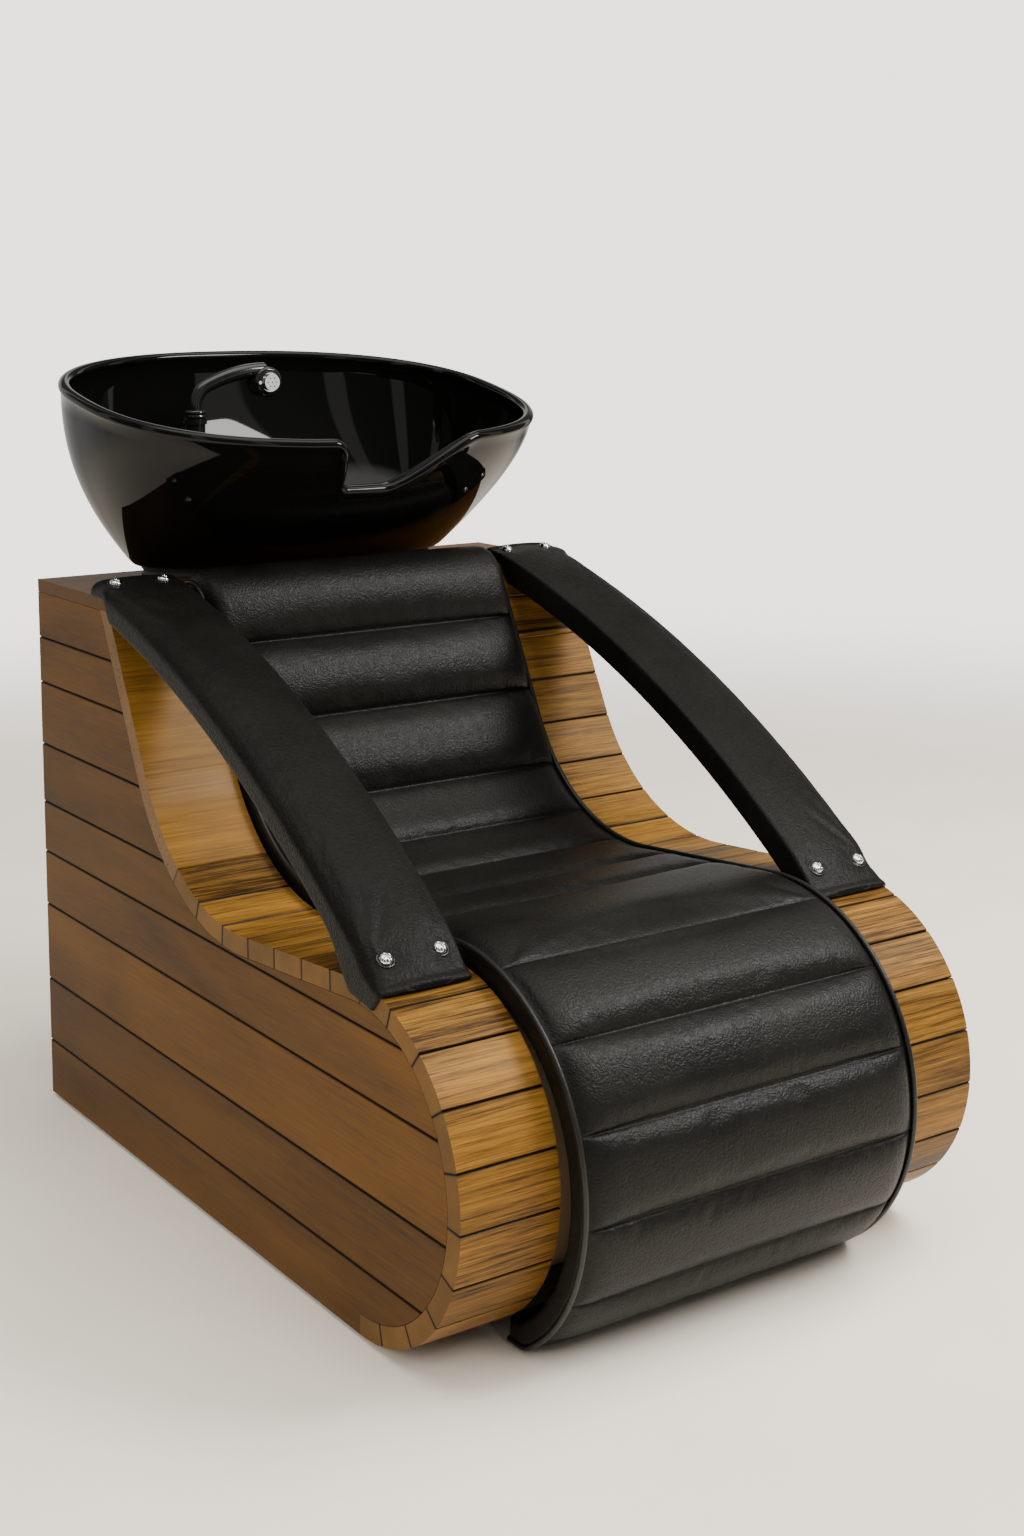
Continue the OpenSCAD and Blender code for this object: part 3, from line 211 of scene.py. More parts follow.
class Maker:
    """A material under construction: one Principled shader and short calls for its nodes."""

    def __init__(self, name, colour, roughness, metallic=0.0, specular=0.5):
        self.material = bpy.data.materials.new(name)
        self.material.use_nodes = True
        self.tree = self.material.node_tree
        self.shader = self.tree.nodes["Principled BSDF"]
        self.set("Base Color", (*colour, 1))
        self.set("Roughness", roughness)
        self.set("Metallic", metallic)
        self.set("Specular IOR Level", specular)
        self.place = self.node("TexCoord").outputs["Object"]

    @classmethod
    def for_tree(cls, tree):
        """A maker that works in a node tree which isn't a material's."""
        maker = cls.__new__(cls)
        maker.tree = tree
        return maker

    def node(self, kind, **inputs):
        """A new node; each value goes to the property or socket of that name, or to socket iN."""
        n = self.tree.nodes.new("ShaderNode" + kind)
        for key, value in inputs.items():
            if hasattr(n, key) and key not in n.inputs:
                setattr(n, key, value)
                continue
            socket = n.inputs[int(key[1:])] if key[0] == "i" and key[1:].isdigit() else n.inputs[key]
            self.feed(socket, value)
        return n

    def feed(self, socket, value):
        """Links a socket's output to the socket, or sets a plain value."""
        if isinstance(value, bpy.types.NodeSocket):
            self.tree.links.new(value, socket)
        else:
            socket.default_value = value

    def math(self, operation, a, b=0.0, c=0.0):
        return self.node("Math", operation=operation, i0=a, i1=b, i2=c).outputs[0]

    def add(self, a, b):
        return self.math("ADD", a, b)

    def sub(self, a, b):
        return self.math("SUBTRACT", a, b)

    def mul(self, a, b):
        return self.math("MULTIPLY", a, b)

    def vector(self, operation, a, b):
        return self.node("VectorMath", operation=operation, i0=a, i1=b).outputs[0]

    def parts(self, vector):
        """The X, Y and Z sockets of a vector."""
        return self.node("SeparateXYZ", Vector=vector).outputs

    def stretch(self, scale, offset=None):
        """The object's coordinates, moved by an offset socket, times scale."""
        moved = self.place
        if offset is not None:
            moved = self.vector("ADD", moved, offset)
        return self.vector("MULTIPLY", moved, scale)

    def noise(self, vector, scale, detail=3.0, rough=0.55, distortion=0.0):
        n = self.node("TexNoise", Vector=vector, Scale=scale, Detail=detail, Roughness=rough,
                      Distortion=distortion)
        return n.outputs["Fac"]

    def ramp(self, value, *stops, interpolation="LINEAR"):
        """A colour ramp; each stop is (position, colour or grey)."""
        n = self.node("ValToRGB", Fac=value)
        n.color_ramp.interpolation = interpolation
        elements = n.color_ramp.elements
        while len(elements) < len(stops):
            elements.new(0.5)
        for element, (position, colour) in zip(elements, stops):
            element.position = position
            element.color = (*([colour] * 3 if isinstance(colour, (int, float)) else colour), 1)
        return n.outputs["Color"]

    def mix(self, amount, a, b, blend="MIX"):
        n = self.tree.nodes.new("ShaderNodeMix")
        n.data_type = "RGBA"
        n.blend_type = blend
        for socket, value in ((n.inputs[0], amount), (n.inputs[6], a), (n.inputs[7], b)):
            if not isinstance(value, bpy.types.NodeSocket) and not isinstance(value, float):
                value = (*value, 1)
            self.feed(socket, value)
        return n.outputs[2]

    def set(self, socket, value):
        """Feeds a socket of the shader."""
        self.feed(self.shader.inputs[socket], value)

    def blend(self, amount, first, second, output):
        """Sends a mix of two shaders to the output node of that name."""
        both = self.node("MixShader", i0=amount, i1=first.outputs[0], i2=second.outputs[0])
        self.feed(self.tree.nodes[output].inputs["Surface"], both.outputs[0])

    def bump(self, height, distance, strength):
        n = self.node("Bump", Height=height, Distance=distance, Strength=strength)
        self.set("Normal", n.outputs["Normal"])

    def layers(self, base, *parts):
        """base plus the sum of weight * (value - middle) over parts of (value, middle, weight)."""
        for value, middle, weight in parts:
            apart = self.sub(value, middle)
            base = self.add(self.mul(apart, weight), base)
        return base


X, Y = 0, 1  # axes, for grain and brush marks


def wood(name, dark, light, along, board, gloss, lines, cloud, seed=0.0):
    """Oiled wood. along is the grain's axis; board gives (number, groove) sockets for each board.

    gloss is the roughness, lines the strength of the grain and cloud that of the broad patches.
    """
    m = Maker(name, light, gloss, specular=0.14)
    fine = [1.0, 1.0, 1.0]  # stretches fibres along the grain
    fine[along] = 0.022
    long = [1.0, 1.0, 1.0]  # stretches clouds and growth rings
    long[along] = 0.22
    offset, groove, tone = None, None, None
    if board is not None:
        number, groove = board(m)
        scatter = m.node("TexWhiteNoise", noise_dimensions="1D", W=m.add(number, seed))
        offset = m.vector("MULTIPLY", scatter.outputs["Color"], (3.1, 3.1, 3.1))
        tone = m.ramp(scatter.outputs["Value"], (0.0, 0.8), (1.0, 1.12))
    wave = m.noise(m.stretch(long, offset=offset), 2.2, 2.0, 0.5, 0.4)
    rings = m.math("ABSOLUTE", m.sub(m.math("FRACT", m.mul(wave, 13.0)), 0.5))
    fibre = m.noise(m.stretch(fine, offset=offset), 820.0, 3.0, 0.7)
    streak = m.noise(m.stretch(fine, offset=offset), 210.0, 3.0, 0.62)
    smudge = m.noise(m.stretch(long, offset=offset), 7.0, 3.0, 0.45, 0.3)
    figure = m.layers(0.5, (streak, 0.5, 1.5 * lines), (rings, 0.25, 0.6 * lines),
                      (smudge, 0.5, 2.2 * cloud), (fibre, 0.5, 1.9 * lines))
    facing = m.math("ABSOLUTE", m.parts(m.node("TexCoord").outputs["Normal"])[along])
    end_grain = m.ramp(facing, (0.75, 0.0), (0.9, 1.0))
    calm = m.noise(m.place, 24.0, 3.0, 0.5)
    figure = m.mix(end_grain, figure, m.add(m.mul(calm, 0.3), 0.22))
    middle = [(a + b) / 2 for a, b in zip(dark, light)]
    colour = m.ramp(figure, (0.12, dark), (0.5, middle), (0.88, light))
    if tone is not None:
        colour = m.mix(1.0, colour, tone, "MULTIPLY")
    if groove is not None:
        colour = m.mix(1.0, colour, groove, "MULTIPLY")
    m.set("Base Color", colour)
    m.set("Roughness", m.add(m.mul(streak, 0.2), gloss - 0.1))
    m.bump(m.add(m.mul(fibre, 0.5), streak), 0.3 * MM, 0.5 * lines)
    return m.material


GROOVE_REACH = 5 * MM  # how far a joint's shade is felt


def groove_shade(m, gap):
    """Dark inside a joint and clear a few millimetres away; gap is the distance to the joint."""
    return m.ramp(m.mul(gap, 1 / GROOVE_REACH), (0.22, 0.06), (0.42, 0.8), (0.8, 1.0))


def plank_number(m):
    """Number of a horizontal board and the shade of its joints, from its height."""
    z = m.parts(m.place)[2]
    number, gap = 0.0, 1.0
    for joint in plank_joints:
        number = m.add(m.math("GREATER_THAN", z, joint), number)
        gap = m.math("MINIMUM", m.math("ABSOLUTE", m.sub(z, joint)), gap)
    return number, groove_shade(m, gap)


seat_from = polar(nose_c, nose_r, math.pi / 2 - seat_rise)
seat_to = polar(curve_c, curve_r, -math.pi / 2 - seat_rise)
nose_part = (first_joint - math.pi / 2 + seat_rise) * nose_r
seat_part = float(np.linalg.norm(seat_to - seat_from))


def stave_number(m):
    """Number of a stave, from its place along the profile: nose, seat line, then the upper curve."""
    parts = m.parts(m.place)
    y, z = parts[1], parts[2]

    def angle(centre, turn):
        """Bearing from a centre, counted from turn."""
        dy = m.sub(y, float(centre[0]))
        dz = m.sub(z, float(centre[1]))
        cos, sin = math.cos(turn), math.sin(turn)
        flat = m.add(m.mul(dy, cos), m.mul(dz, sin))
        side = m.sub(m.mul(dz, cos), m.mul(dy, sin))
        return m.math("ARCTAN2", side, flat)

    nose = m.mul(angle(nose_c, first_joint), -nose_r)
    seat = m.mul(m.sub(y, float(seat_from[0])), 1 / seat_t[0])
    seat = m.add(seat, nose_part)
    curve = m.add(m.mul(angle(curve_c, -math.pi / 2 - seat_rise), curve_r), nose_part + seat_part)
    past_nose = m.math("GREATER_THAN", y, float(seat_from[0]))
    past_seat = m.math("GREATER_THAN", y, float(seat_to[0]))
    s = m.add(nose, m.mul(past_nose, m.sub(seat, nose)))
    s = m.add(s, m.mul(past_seat, m.sub(curve, s)))
    share = m.mul(s, 1 / stave_pitch)
    near = m.math("ABSOLUTE", m.sub(share, m.math("ROUND", share)))
    return m.math("FLOOR", share), groove_shade(m, m.mul(near, stave_pitch))


def leather(name, grain=1.0, depth=1.0, shine=0.17):
    """Black upholstery leather with a pebbled grain; the flat sides of the pads are smooth."""
    m = Maker(name, (0.006, 0.006, 0.005), 0.42, specular=shine)
    bent = m.node("TexNoise", Vector=m.place, Scale=60.0, Detail=2.0)
    warp = m.node("VectorMath", operation="SCALE", i0=bent.outputs["Color"], Scale=0.016).outputs[0]
    place = m.vector("ADD", m.place, warp)
    cells = m.node("TexVoronoi", feature="SMOOTH_F1", Vector=place, Scale=310.0 * grain, Smoothness=0.4)
    small = m.noise(place, 620.0 * grain, 2.0, 0.6)
    wide = m.noise(m.place, 9.0, 3.0, 0.6)
    across = m.math("ABSOLUTE", m.parts(m.place)[0])
    band = m.math("COMPARE", across, float(pad_half) - 1 * MM, 0.4 * MM)
    rough_side = m.sub(1.0, m.mul(band, 0.85))
    pebble = m.add(cells.outputs["Distance"], m.mul(small, 0.45))
    worn = m.ramp(wide, (0.35, (0.0038, 0.0038, 0.003)), (0.7, (0.007, 0.0069, 0.0056)))
    # painted shade: the colour is darkened in the valleys between the pebbles and lightened on the pebble
    # tops
    painted_pebble_shade = m.ramp(cells.outputs["Distance"], (0.0, 1.15), (0.75, 0.7))
    m.set("Base Color", m.mix(1.0, worn, painted_pebble_shade, "MULTIPLY"))
    rough = m.add(m.mul(cells.outputs["Distance"], 0.14), 0.36)
    m.set("Roughness", m.add(rough, m.mul(m.sub(wide, 0.5), 0.14)))
    m.bump(m.mul(m.sub(1.0, pebble), rough_side), 0.9 * MM, 0.5 * depth)
    return m.material


def glaze(name):
    """Black high-gloss ceramic glaze, with a faint ripple."""
    m = Maker(name, (0.003, 0.003, 0.003), 0.03, specular=0.2)
    m.bump(m.noise(m.place, 8.0, 1.0, 0.4), 1.2 * MM, 0.12)
    cloud = m.noise(m.place, 3.0)
    m.set("Base Color", m.ramp(cloud, (0.3, (0.002, 0.002, 0.0018)), (0.8, (0.0035, 0.0035, 0.003))))
    m.set("Roughness", m.add(m.mul(m.noise(m.place, 26.0, 3.0), 0.03), 0.02))
    return m.material


def metal(name, colour, roughness, brush=None, wear=0.1):
    """Polished or brushed metal; brush is the axis of the brush marks."""
    m = Maker(name, colour, roughness, 1.0)
    smudge = m.noise(m.place, 45.0, 4.0, 0.6)
    rough = m.add(m.mul(smudge, wear), roughness)
    if brush is not None:
        scale = [1.0, 1.0, 1.0]
        scale[brush] = 0.02
        lines = m.noise(m.stretch(scale), 900.0, 2.0)
        rough = m.add(rough, m.mul(lines, 0.12))
        m.bump(lines, 0.1 * MM, 0.3)
    m.set("Roughness", rough)
    m.set("Base Color", m.mix(smudge, [c * 0.9 for c in colour], colour))
    return m.material


def plastic(name, colour, roughness, grain=900.0):
    """Moulded plastic or rubber with a fine texture."""
    m = Maker(name, colour, roughness)
    fine = m.noise(m.place, grain, 2.0)
    wide = m.noise(m.place, 14.0, 3.0)
    m.set("Roughness", m.add(m.mul(wide, 0.12), roughness - 0.05))
    m.set("Base Color", m.mix(wide, [c * 0.85 for c in colour], [c * 1.1 for c in colour]))
    m.bump(fine, 0.15 * MM, 0.3)
    return m.material


SIDE_DARK, SIDE_LIGHT = (0.03, 0.0115, 0.0012), (0.12, 0.05, 0.0042)
STAVE_DARK, STAVE_LIGHT = (0.024, 0.0092, 0.0014), (0.27, 0.13, 0.021)
MATERIALS = {
    "side_planks": wood("side_planks", SIDE_DARK, SIDE_LIGHT, Y, plank_number, 0.5, 0.42, 0.5, seed=3.7),
    "staves": wood("staves", STAVE_DARK, STAVE_LIGHT, X, stave_number, 0.46, 0.85, 0.25, seed=1.3),
    "liner": wood("liner", STAVE_DARK, STAVE_LIGHT, X, None, 0.3, 0.4, 0.3),
    "deck": wood("deck", SIDE_DARK, SIDE_LIGHT, X, None, 0.45, 0.4, 0.5),
    "back": wood("back", SIDE_DARK, SIDE_LIGHT, X, plank_number, 0.5, 0.34, 0.5, seed=9.1),
    "plywood": wood("plywood", (0.36, 0.25, 0.14), (0.62, 0.47, 0.3), Y, None, 0.6, 0.3, 0.3),
    "leather": leather("black_leather"),
    "arm_leather": leather("arm_leather", shine=0.1),
    "welt": leather("welt_leather", grain=0.6, depth=0.4, shine=0.4),
    "glaze": glaze("black_glaze"),
    "chrome": metal("chrome", (0.83, 0.83, 0.84), 0.05, wear=0.05),
    "steel": metal("steel", (0.5, 0.51, 0.52), 0.32, brush=X),
    "braid": metal("braid", (0.48, 0.49, 0.5), 0.35, brush=X),
    "brass": metal("brass", (0.72, 0.53, 0.26), 0.24),
    "rubber": plastic("rubber", (0.02, 0.02, 0.02), 0.6),
    "black_plastic": plastic("black_plastic", (0.025, 0.025, 0.027), 0.42),
    "gloss_black": plastic("gloss_black", (0.008, 0.008, 0.008), 0.12, grain=60.0),
    "red_grip": plastic("red_grip", (0.5, 0.04, 0.03), 0.4),
    "blue_grip": plastic("blue_grip", (0.04, 0.12, 0.4), 0.4),
}
FINISH = {
    "side_planks": "left_side_planks right_side_planks",
    "staves": "left_staves right_staves",
    "liner": "left_bent_liner",
    "deck": "deck_board",
    "back": "back_panel service_door",
    "plywood": "left_outer_panel right_outer_panel left_inner_panel right_inner_panel cross_rails "
               "fixing_blocks foot_blocks seat_shell",
    "leather": "cushion",
    "arm_leather": "left_arm_pad right_arm_pad",
    "glaze": "bowl",
    "chrome": "door_knob arm_screws drain_body hair_strainer spray_nozzle spray_button mixer_body "
              "mixer_cap mixer_lever",
    "steel": "door_hinge_leaves door_hinge_pins door_hinge_plates anchor_brackets left_arm_bar "
             "right_arm_bar tilt_yoke tilt_base pivot_bolts pivot_nuts",
    "braid": "hot_hose cold_hose shower_hose",
    "brass": "drain_nut hot_stop_valve cold_stop_valve",
    "rubber": "levelling_feet bowl_gasket tilt_skirt friction_washers waste_hose",
    "black_plastic": "magnet_catch bottle_trap waste_outlet",
    "gloss_black": "shower_dock hand_shower",
    "red_grip": "hot_valve_handle",
    "blue_grip": "cold_valve_handle",
}
for finish, names in FINISH.items():
    for node_name in names.split():
        paint(NODES[node_name], MATERIALS[finish])


# ---- Bowl ----

# The rim and the foot are ovals: half the width, then the reach in front and behind
rim_a, rim_bf, rim_bb, rim_z, rim_slope = 336 * MM, 271 * MM, 234 * MM, 988 * MM, 0.2
foot_a, foot_bf, foot_bb = 240 * MM, 94 * MM, 46 * MM
rim_y, foot_y, drain_y = 450 * MM, 480 * MM, 462 * MM
foot_z = deck_z + 12 * MM
wall_t = 10 * MM
floor_t, floor_cove = 9.6 * MM, 3.4 * MM  # the bowl's floor, and its rise to the wall
drain_r = 22.5 * MM
rim_power = (2.55, 2.3)  # in front of the rim's centre, and behind it
wall_power = (1.53, 2.5)  # how the wall swells, in front and behind
neck_depth, neck_r, neck_run, neck_extra = 66 * MM, 16 * MM, 140 * MM, 14 * MM
neck_steep = math.radians(80)
neck_flat = (-52 * MM, 8 * MM)
lip_w = 14 * MM
lip_mid, lip_r = (5.6 * MM, -1.2 * MM), (8.6 * MM, 7.9 * MM)
boss_r, boss_bore, boss_h = 21 * MM, 10.5 * MM, 26 * MM
boss_top = 62 * MM  # above the lower end of the shower dock


def smooth_step(t):
    t = np.clip(t, 0.0, 1.0)
    return t * t * (3 - 2 * t)


def neck_line():
    """The neck rest as (x, drop): the steep side, the flat bottom, then the gentle side."""
    neck_in = neck_r * (1 - math.cos(neck_steep))
    side = 2 * neck_r * math.sin(neck_steep) + (neck_depth - 2 * neck_in) / math.tan(neck_steep)
    turn = np.linspace(0, neck_steep, 14)
    down = [(neck_flat[0] - side + neck_r * math.sin(t), neck_r * (1 - math.cos(t))) for t in turn]
    foot = [(neck_flat[0] - neck_r * math.sin(t), neck_depth - neck_r * (1 - math.cos(t)))
            for t in turn[::-1]]
    (x0, d0), (x1, d1) = down[-1], foot[0]
    wall = [(x0 + (x1 - x0) * t, d0 + (d1 - d0) * t) for t in (0.25, 0.5, 0.75)]
    flat = [(x, neck_depth) for x in np.linspace(*neck_flat, 14)[1:]]
    rise = [(neck_flat[1] + neck_run * t, neck_depth * (1 - smooth_step(t)))
            for t in np.linspace(0, 1, 34)[1:]]
    return np.array(down + wall + foot + flat + rise)


def rim_stations(step=math.radians(1.6)):
    """Unit directions kx, ky round the rim, with the neck rest's drop at each."""
    line = neck_line()
    kx = line[:, 0] / rim_a
    ky = -(1 - abs(kx) ** rim_power[0]) ** (1 / rim_power[0])
    start, end = math.atan2(ky[-1], kx[-1]), math.atan2(ky[0], kx[0]) + 2 * math.pi
    count = int((end - start) / step)
    angles = start + (end - start) * np.arange(1, count) / count
    power = np.where(np.sin(angles) > 0, rim_power[1], rim_power[0])
    k = (abs(np.cos(angles)) ** power + abs(np.sin(angles)) ** power) ** (-1 / power)
    rest = np.column_stack([k * np.cos(angles), k * np.sin(angles), np.zeros(len(angles))])
    return np.vstack([np.column_stack([kx, ky, line[:, 1]]), rest])


stations = rim_stations()


def bowl_wall(share, inset):
    """The ring of the bowl's wall at a share of its height, inset from the outer face."""
    kx, ky, drop = stations.T
    back = ky > 0
    depth = np.where(back, rim_bb, rim_bf)
    foot = np.where(back, foot_bb, foot_bf)
    high = rim_z + rim_slope * depth * ky - foot_z
    u = share * (1 - drop / high)
    turn = smooth_step((ky / np.hypot(kx, ky) + 0.6) / 1.2)
    power = wall_power[0] * (1 - turn) + wall_power[1] * turn
    w = 1 - (1 - u) ** power
    rim_inset = inset + (neck_extra * drop / neck_depth * share ** 4 if inset > 0 else 0)
    x = (foot_a - inset) * kx * (1 - w) + (rim_a - rim_inset) * kx * w
    y = (foot_y + (foot - inset) * ky) * (1 - w) + (rim_y + (depth - rim_inset) * ky) * w
    return np.column_stack([x, y, foot_z + high * u])


def bowl_lip(inward, up):
    """The ring of the rolled lip at a place of its section, square to the rim's line."""
    kx, ky, drop = stations.T
    rim = bowl_wall(1, 0)
    run = np.roll(rim, -1, 0) - np.roll(rim, 1, 0)
    run /= np.linalg.norm(run, axis=1)[:, None]
    out = np.column_stack([kx / rim_a, ky / np.where(ky > 0, rim_bb, rim_bf), np.zeros(len(kx))])
    out -= run * (out * run).sum(1)[:, None]
    out /= np.linalg.norm(out, axis=1)[:, None]
    inset = inward + (neck_extra * drop / neck_depth * inward / lip_w if inward > 0 else 0 * drop)
    lift = up * np.hypot(run[:, 0], run[:, 1]) if up < 0 else np.full(len(kx), up)
    return rim - out * inset[:, None] + np.cross(out, run) * lift[:, None]


def make_bowl():
    """The bowl as one closed skin: outer wall, rolled lip, inner wall, floor and drain hole."""
    rings = [bowl_wall(v, e * MM) for v, e in ((0, 9), (0.004, 5.5), (0.014, 2), (0.032, 0.4))]
    rings += [bowl_wall(v, 0) for v in np.linspace(0.06, 0.9, 20)]
    for a in np.radians(np.linspace(232, -48, 17)):
        rings.append(bowl_lip(lip_mid[0] + lip_r[0] * math.cos(a), lip_mid[1] + lip_r[1] * math.sin(a)))
    rings += [bowl_wall(v, wall_t) for v in np.linspace(0.9, 0.1, 20)]
    floor = bowl_wall(0.06, wall_t + 5 * MM)
    rings.append(floor)
    for share in (0.975, 0.93, 0.85, 0.7, 0.5, 0.3):
        ring = floor * share + np.array([0, drain_y, 0]) * (1 - share)
        ring[:, 2] = foot_z + floor_t + floor_cove * share ** 6
        rings.append(ring)
    bearing = np.arctan2(floor[:, 1] - drain_y, floor[:, 0])
    for z in (foot_z + floor_t, foot_z):
        rings.append(np.column_stack([drain_r * np.cos(bearing), drain_y + drain_r * np.sin(bearing),
                                      np.full(len(bearing), z)]))
    bowl = mesh_object("bowl_shell", np.vstack(rings), ring_faces(len(rings), len(stations), closed=True))
    paint(bowl, MATERIALS["glaze"])
    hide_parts("bowl")
    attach(bowl, "bowl")


def make_boss():
    """Thick glazed boss that the shower dock is screwed through."""
    lo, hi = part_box("shower_dock")
    x, y = (lo.x + hi.x) / 2, (lo.y + hi.y) / 2
    top = lo.z + boss_top
    foot = top - boss_h
    r, edge, nick = boss_r, 3 * MM, 0.8 * MM  # the edges are rounded by one point each
    profile = [(boss_bore, foot), (r - edge, foot), (r - nick, foot + nick), (r, foot + edge)]
    profile += [(r, top - edge), (r - nick, top - nick), (r - edge, top), (boss_bore, top)]
    boss = lathe("bowl_boss", profile, (x, y, 0), closed=True)
    paint(boss, MATERIALS["glaze"])
    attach(boss, "bowl")


def make_skirt():
    """Rubber skirt between the deck and the bowl's foot, with one soft fold."""
    rings = []
    lo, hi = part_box("tilt_skirt")
    # Inset from the foot in mm, and share of the height: up the fold outside, then down the inside
    rows = [(10, 0.0), (9.2, 0.15), (11.5, 0.35), (12.3, 0.5), (11.5, 0.65), (9.2, 0.85), (10, 1.0)]
    rows += [(15, 1.0), (15, 0.66), (15, 0.33), (15, 0.0)]
    for inset, share in rows:
        ring = bowl_wall(0, inset * MM)
        ring[:, 2] = lo.z + (hi.z - lo.z) * share
        rings.append(ring)
    skirt = mesh_object("skirt", np.vstack(rings), ring_faces(len(rings), len(stations), closed=True))
    paint(skirt, MATERIALS["rubber"])
    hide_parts("tilt_skirt")
    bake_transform(skirt)


make_bowl()
make_boss()
make_skirt()


# ---- Cushion ----

seam_level = 14 * MM  # height of the seams above the wood
pad_r = 226 * MM  # radius of the seams round the nose
roll_r = 42 * MM  # radius of the seams round the top roll
pad_floor = 6 * MM
tuck_y = -425 * MM  # where the cushion ends under the nose
pad_nose_c = nose_c - 8 * MM * seat_n - 9 * MM * seat_t
roll_c = back_p + (seam_level - roll_r) * back_n - 22.8 * MM * back_t
side_drop = 28 * MM  # height of the cushion's side band
seam_dip = 1.5 * MM  # how far the seams are drawn in
recess, recess_w = 3.2 * MM, 9 * MM  # the side edges drop by this for the piping
piping_r, piping_in = 3.4 * MM, 1.6 * MM
roll_crown = 15  # panels that crown more, in mm, are fat rolls

# Panels from the tuck under the nose to the top roll: length, crown and flat border, in mm
PANELS = (
    (30, 1, 6), (32, 4, 8), (77, 8, 9), (100, 9, 10), (98, 9, 10), (97, 9, 10), (112, 10, 10),
    (189, 7, 10), (95, 3.5, 8), (113, 3.5, 8), (81, 4, 8), (88, 8, 8), (115, 20, 4), (110, 20, 4),
    (134, 22, 3),
)


def pad_profile(count=3000, ease=30):
    """The seam-level line in the YZ plane, evenly spaced, and its outward normals.

    Corners are eased over ease points to each side, which is about 15 mm.
    """
    tuck = math.pi + math.asin((pad_nose_c[1] - pad_floor) / pad_r)
    points = [np.array([tuck_y, pad_floor])]
    points += [polar(pad_nose_c, pad_r, a) for a in np.linspace(tuck, math.pi / 2 - seat_rise, 160)]
    points += [polar(curve_c, curve_r - seam_level, a)
               for a in np.linspace(-math.pi / 2 - seat_rise, -back_lean, 80)]
    points += [polar(roll_c, roll_r, a) for a in np.linspace(math.pi - back_lean, math.radians(54), 60)]
    points = np.array(points)
    run = np.r_[0, np.cumsum(np.linalg.norm(np.diff(points, axis=0), axis=1))]
    even = np.linspace(0, run[-1], count)
    line = np.column_stack([np.interp(even, run, points[:, i]) for i in (0, 1)])
    kernel = np.hanning(2 * ease + 1)
    ends = 2 * line[0] - line[ease:0:-1], 2 * line[-1] - line[-2:-ease - 2:-1]
    padded = np.vstack([ends[0], line, ends[1]])
    line = np.column_stack([np.convolve(padded[:, i], kernel / kernel.sum(), "valid") for i in (0, 1)])
    tangent = np.gradient(line, axis=0)
    tangent /= np.linalg.norm(tangent, axis=1)[:, None]
    return even, line, np.column_stack([-tangent[:, 1], tangent[:, 0]])


def pad_stations():
    """Along the cushion: distance, crown, border and whether a seam lies there."""
    rows = []
    start = 0.0
    for length, crown, border in PANELS:
        cells = max(4, round(length / 5.5))
        flat, blunt = (2.0, 0.5) if crown > roll_crown else (3.2, 0.42)
        for i in range(cells):
            u = i / cells
            t = u - 0.7 * math.sin(2 * math.pi * u) / (2 * math.pi)  # closer near the seams
            rise = (1 - abs(2 * t - 1) ** flat) ** blunt
            rows.append(((start + t * length) * MM, rise * crown * MM, border * MM, i == 0))
        start += length
    rows.append((start * MM, 0.0, 4 * MM, True))
    return rows, start * MM


def make_cushion():
    """The channelled cover as one closed skin, inflated between its seams, with piping."""
    even, line, normal = pad_profile()
    rows, length = pad_stations()
    half = pad_half - 1 * MM
    columns = 86
    v = np.linspace(-1, 1, columns + 1)
    across = half * (v + 0.045 * np.sin(math.pi * v))
    verts, pinned = [], []
    levels = (-5 * MM, -12 * MM, -20 * MM, -side_drop)
    under = np.linspace(half * 0.94, -half * 0.94, 11)
    for s, rise, border, seam in rows:
        shoulder = (20 if border < 6 * MM else 34) * MM
        s *= even[-1] / length
        point = np.array([np.interp(s, even, line[:, i]) for i in (0, 1)])
        out = np.array([np.interp(s, even, normal[:, i]) for i in (0, 1)])
        out /= np.linalg.norm(out)
        ring = []
        for x in across:
            u = np.clip((half - abs(x) - border) / shoulder, 0, 1)
            lower = recess * np.clip(1 - (half - abs(x)) / recess_w, 0, 1)
            ring.append((x, rise * (1 - (1 - u) ** 2.2) ** 0.5 - (seam_dip if seam else 0) - lower))
            if seam or u <= 0:
                pinned.append(len(verts) + len(ring) - 1)
        top = len(ring)
        ring += [(half, z) for z in levels]
        ring += [(x, -side_drop) for x in under]
        ring += [(-half, z) for z in reversed(levels)]
        pinned += range(len(verts) + top, len(verts) + len(ring))
        verts += [(x, *(point + out * lift)) for x, lift in ring]
    sides = len(ring)
    faces = ring_faces(len(rows), sides)
    pinned += [fan(verts, faces, i, sides) for i in (0, len(rows) - 1)]
    cover = mesh_object("cushion_cover", verts, faces)
    puff(cover, pinned, pressure=2.5, slack=0.004, cap=3 * MM)
    cover = subdivide(cover)
    paint(cover, MATERIALS["leather"])
    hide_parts("cushion")
    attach(cover, "body")
    for side, name in ((-1, "left"), (1, "right")):
        path = [(side * (half - piping_in), *(line[i] + normal[i] * 0.4 * MM))
                for i in range(0, len(line), 12)]
        welt = sweep("cushion_piping_" + name, path, piping_r)
        paint(welt, MATERIALS["welt"])
        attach(welt, "body")


def coordinates(mesh):
    """The mesh's points as rows of an array."""
    flat = np.empty(len(mesh.vertices) * 3, np.float32)
    mesh.vertices.foreach_get("co", flat)
    return flat.reshape(-1, 3)


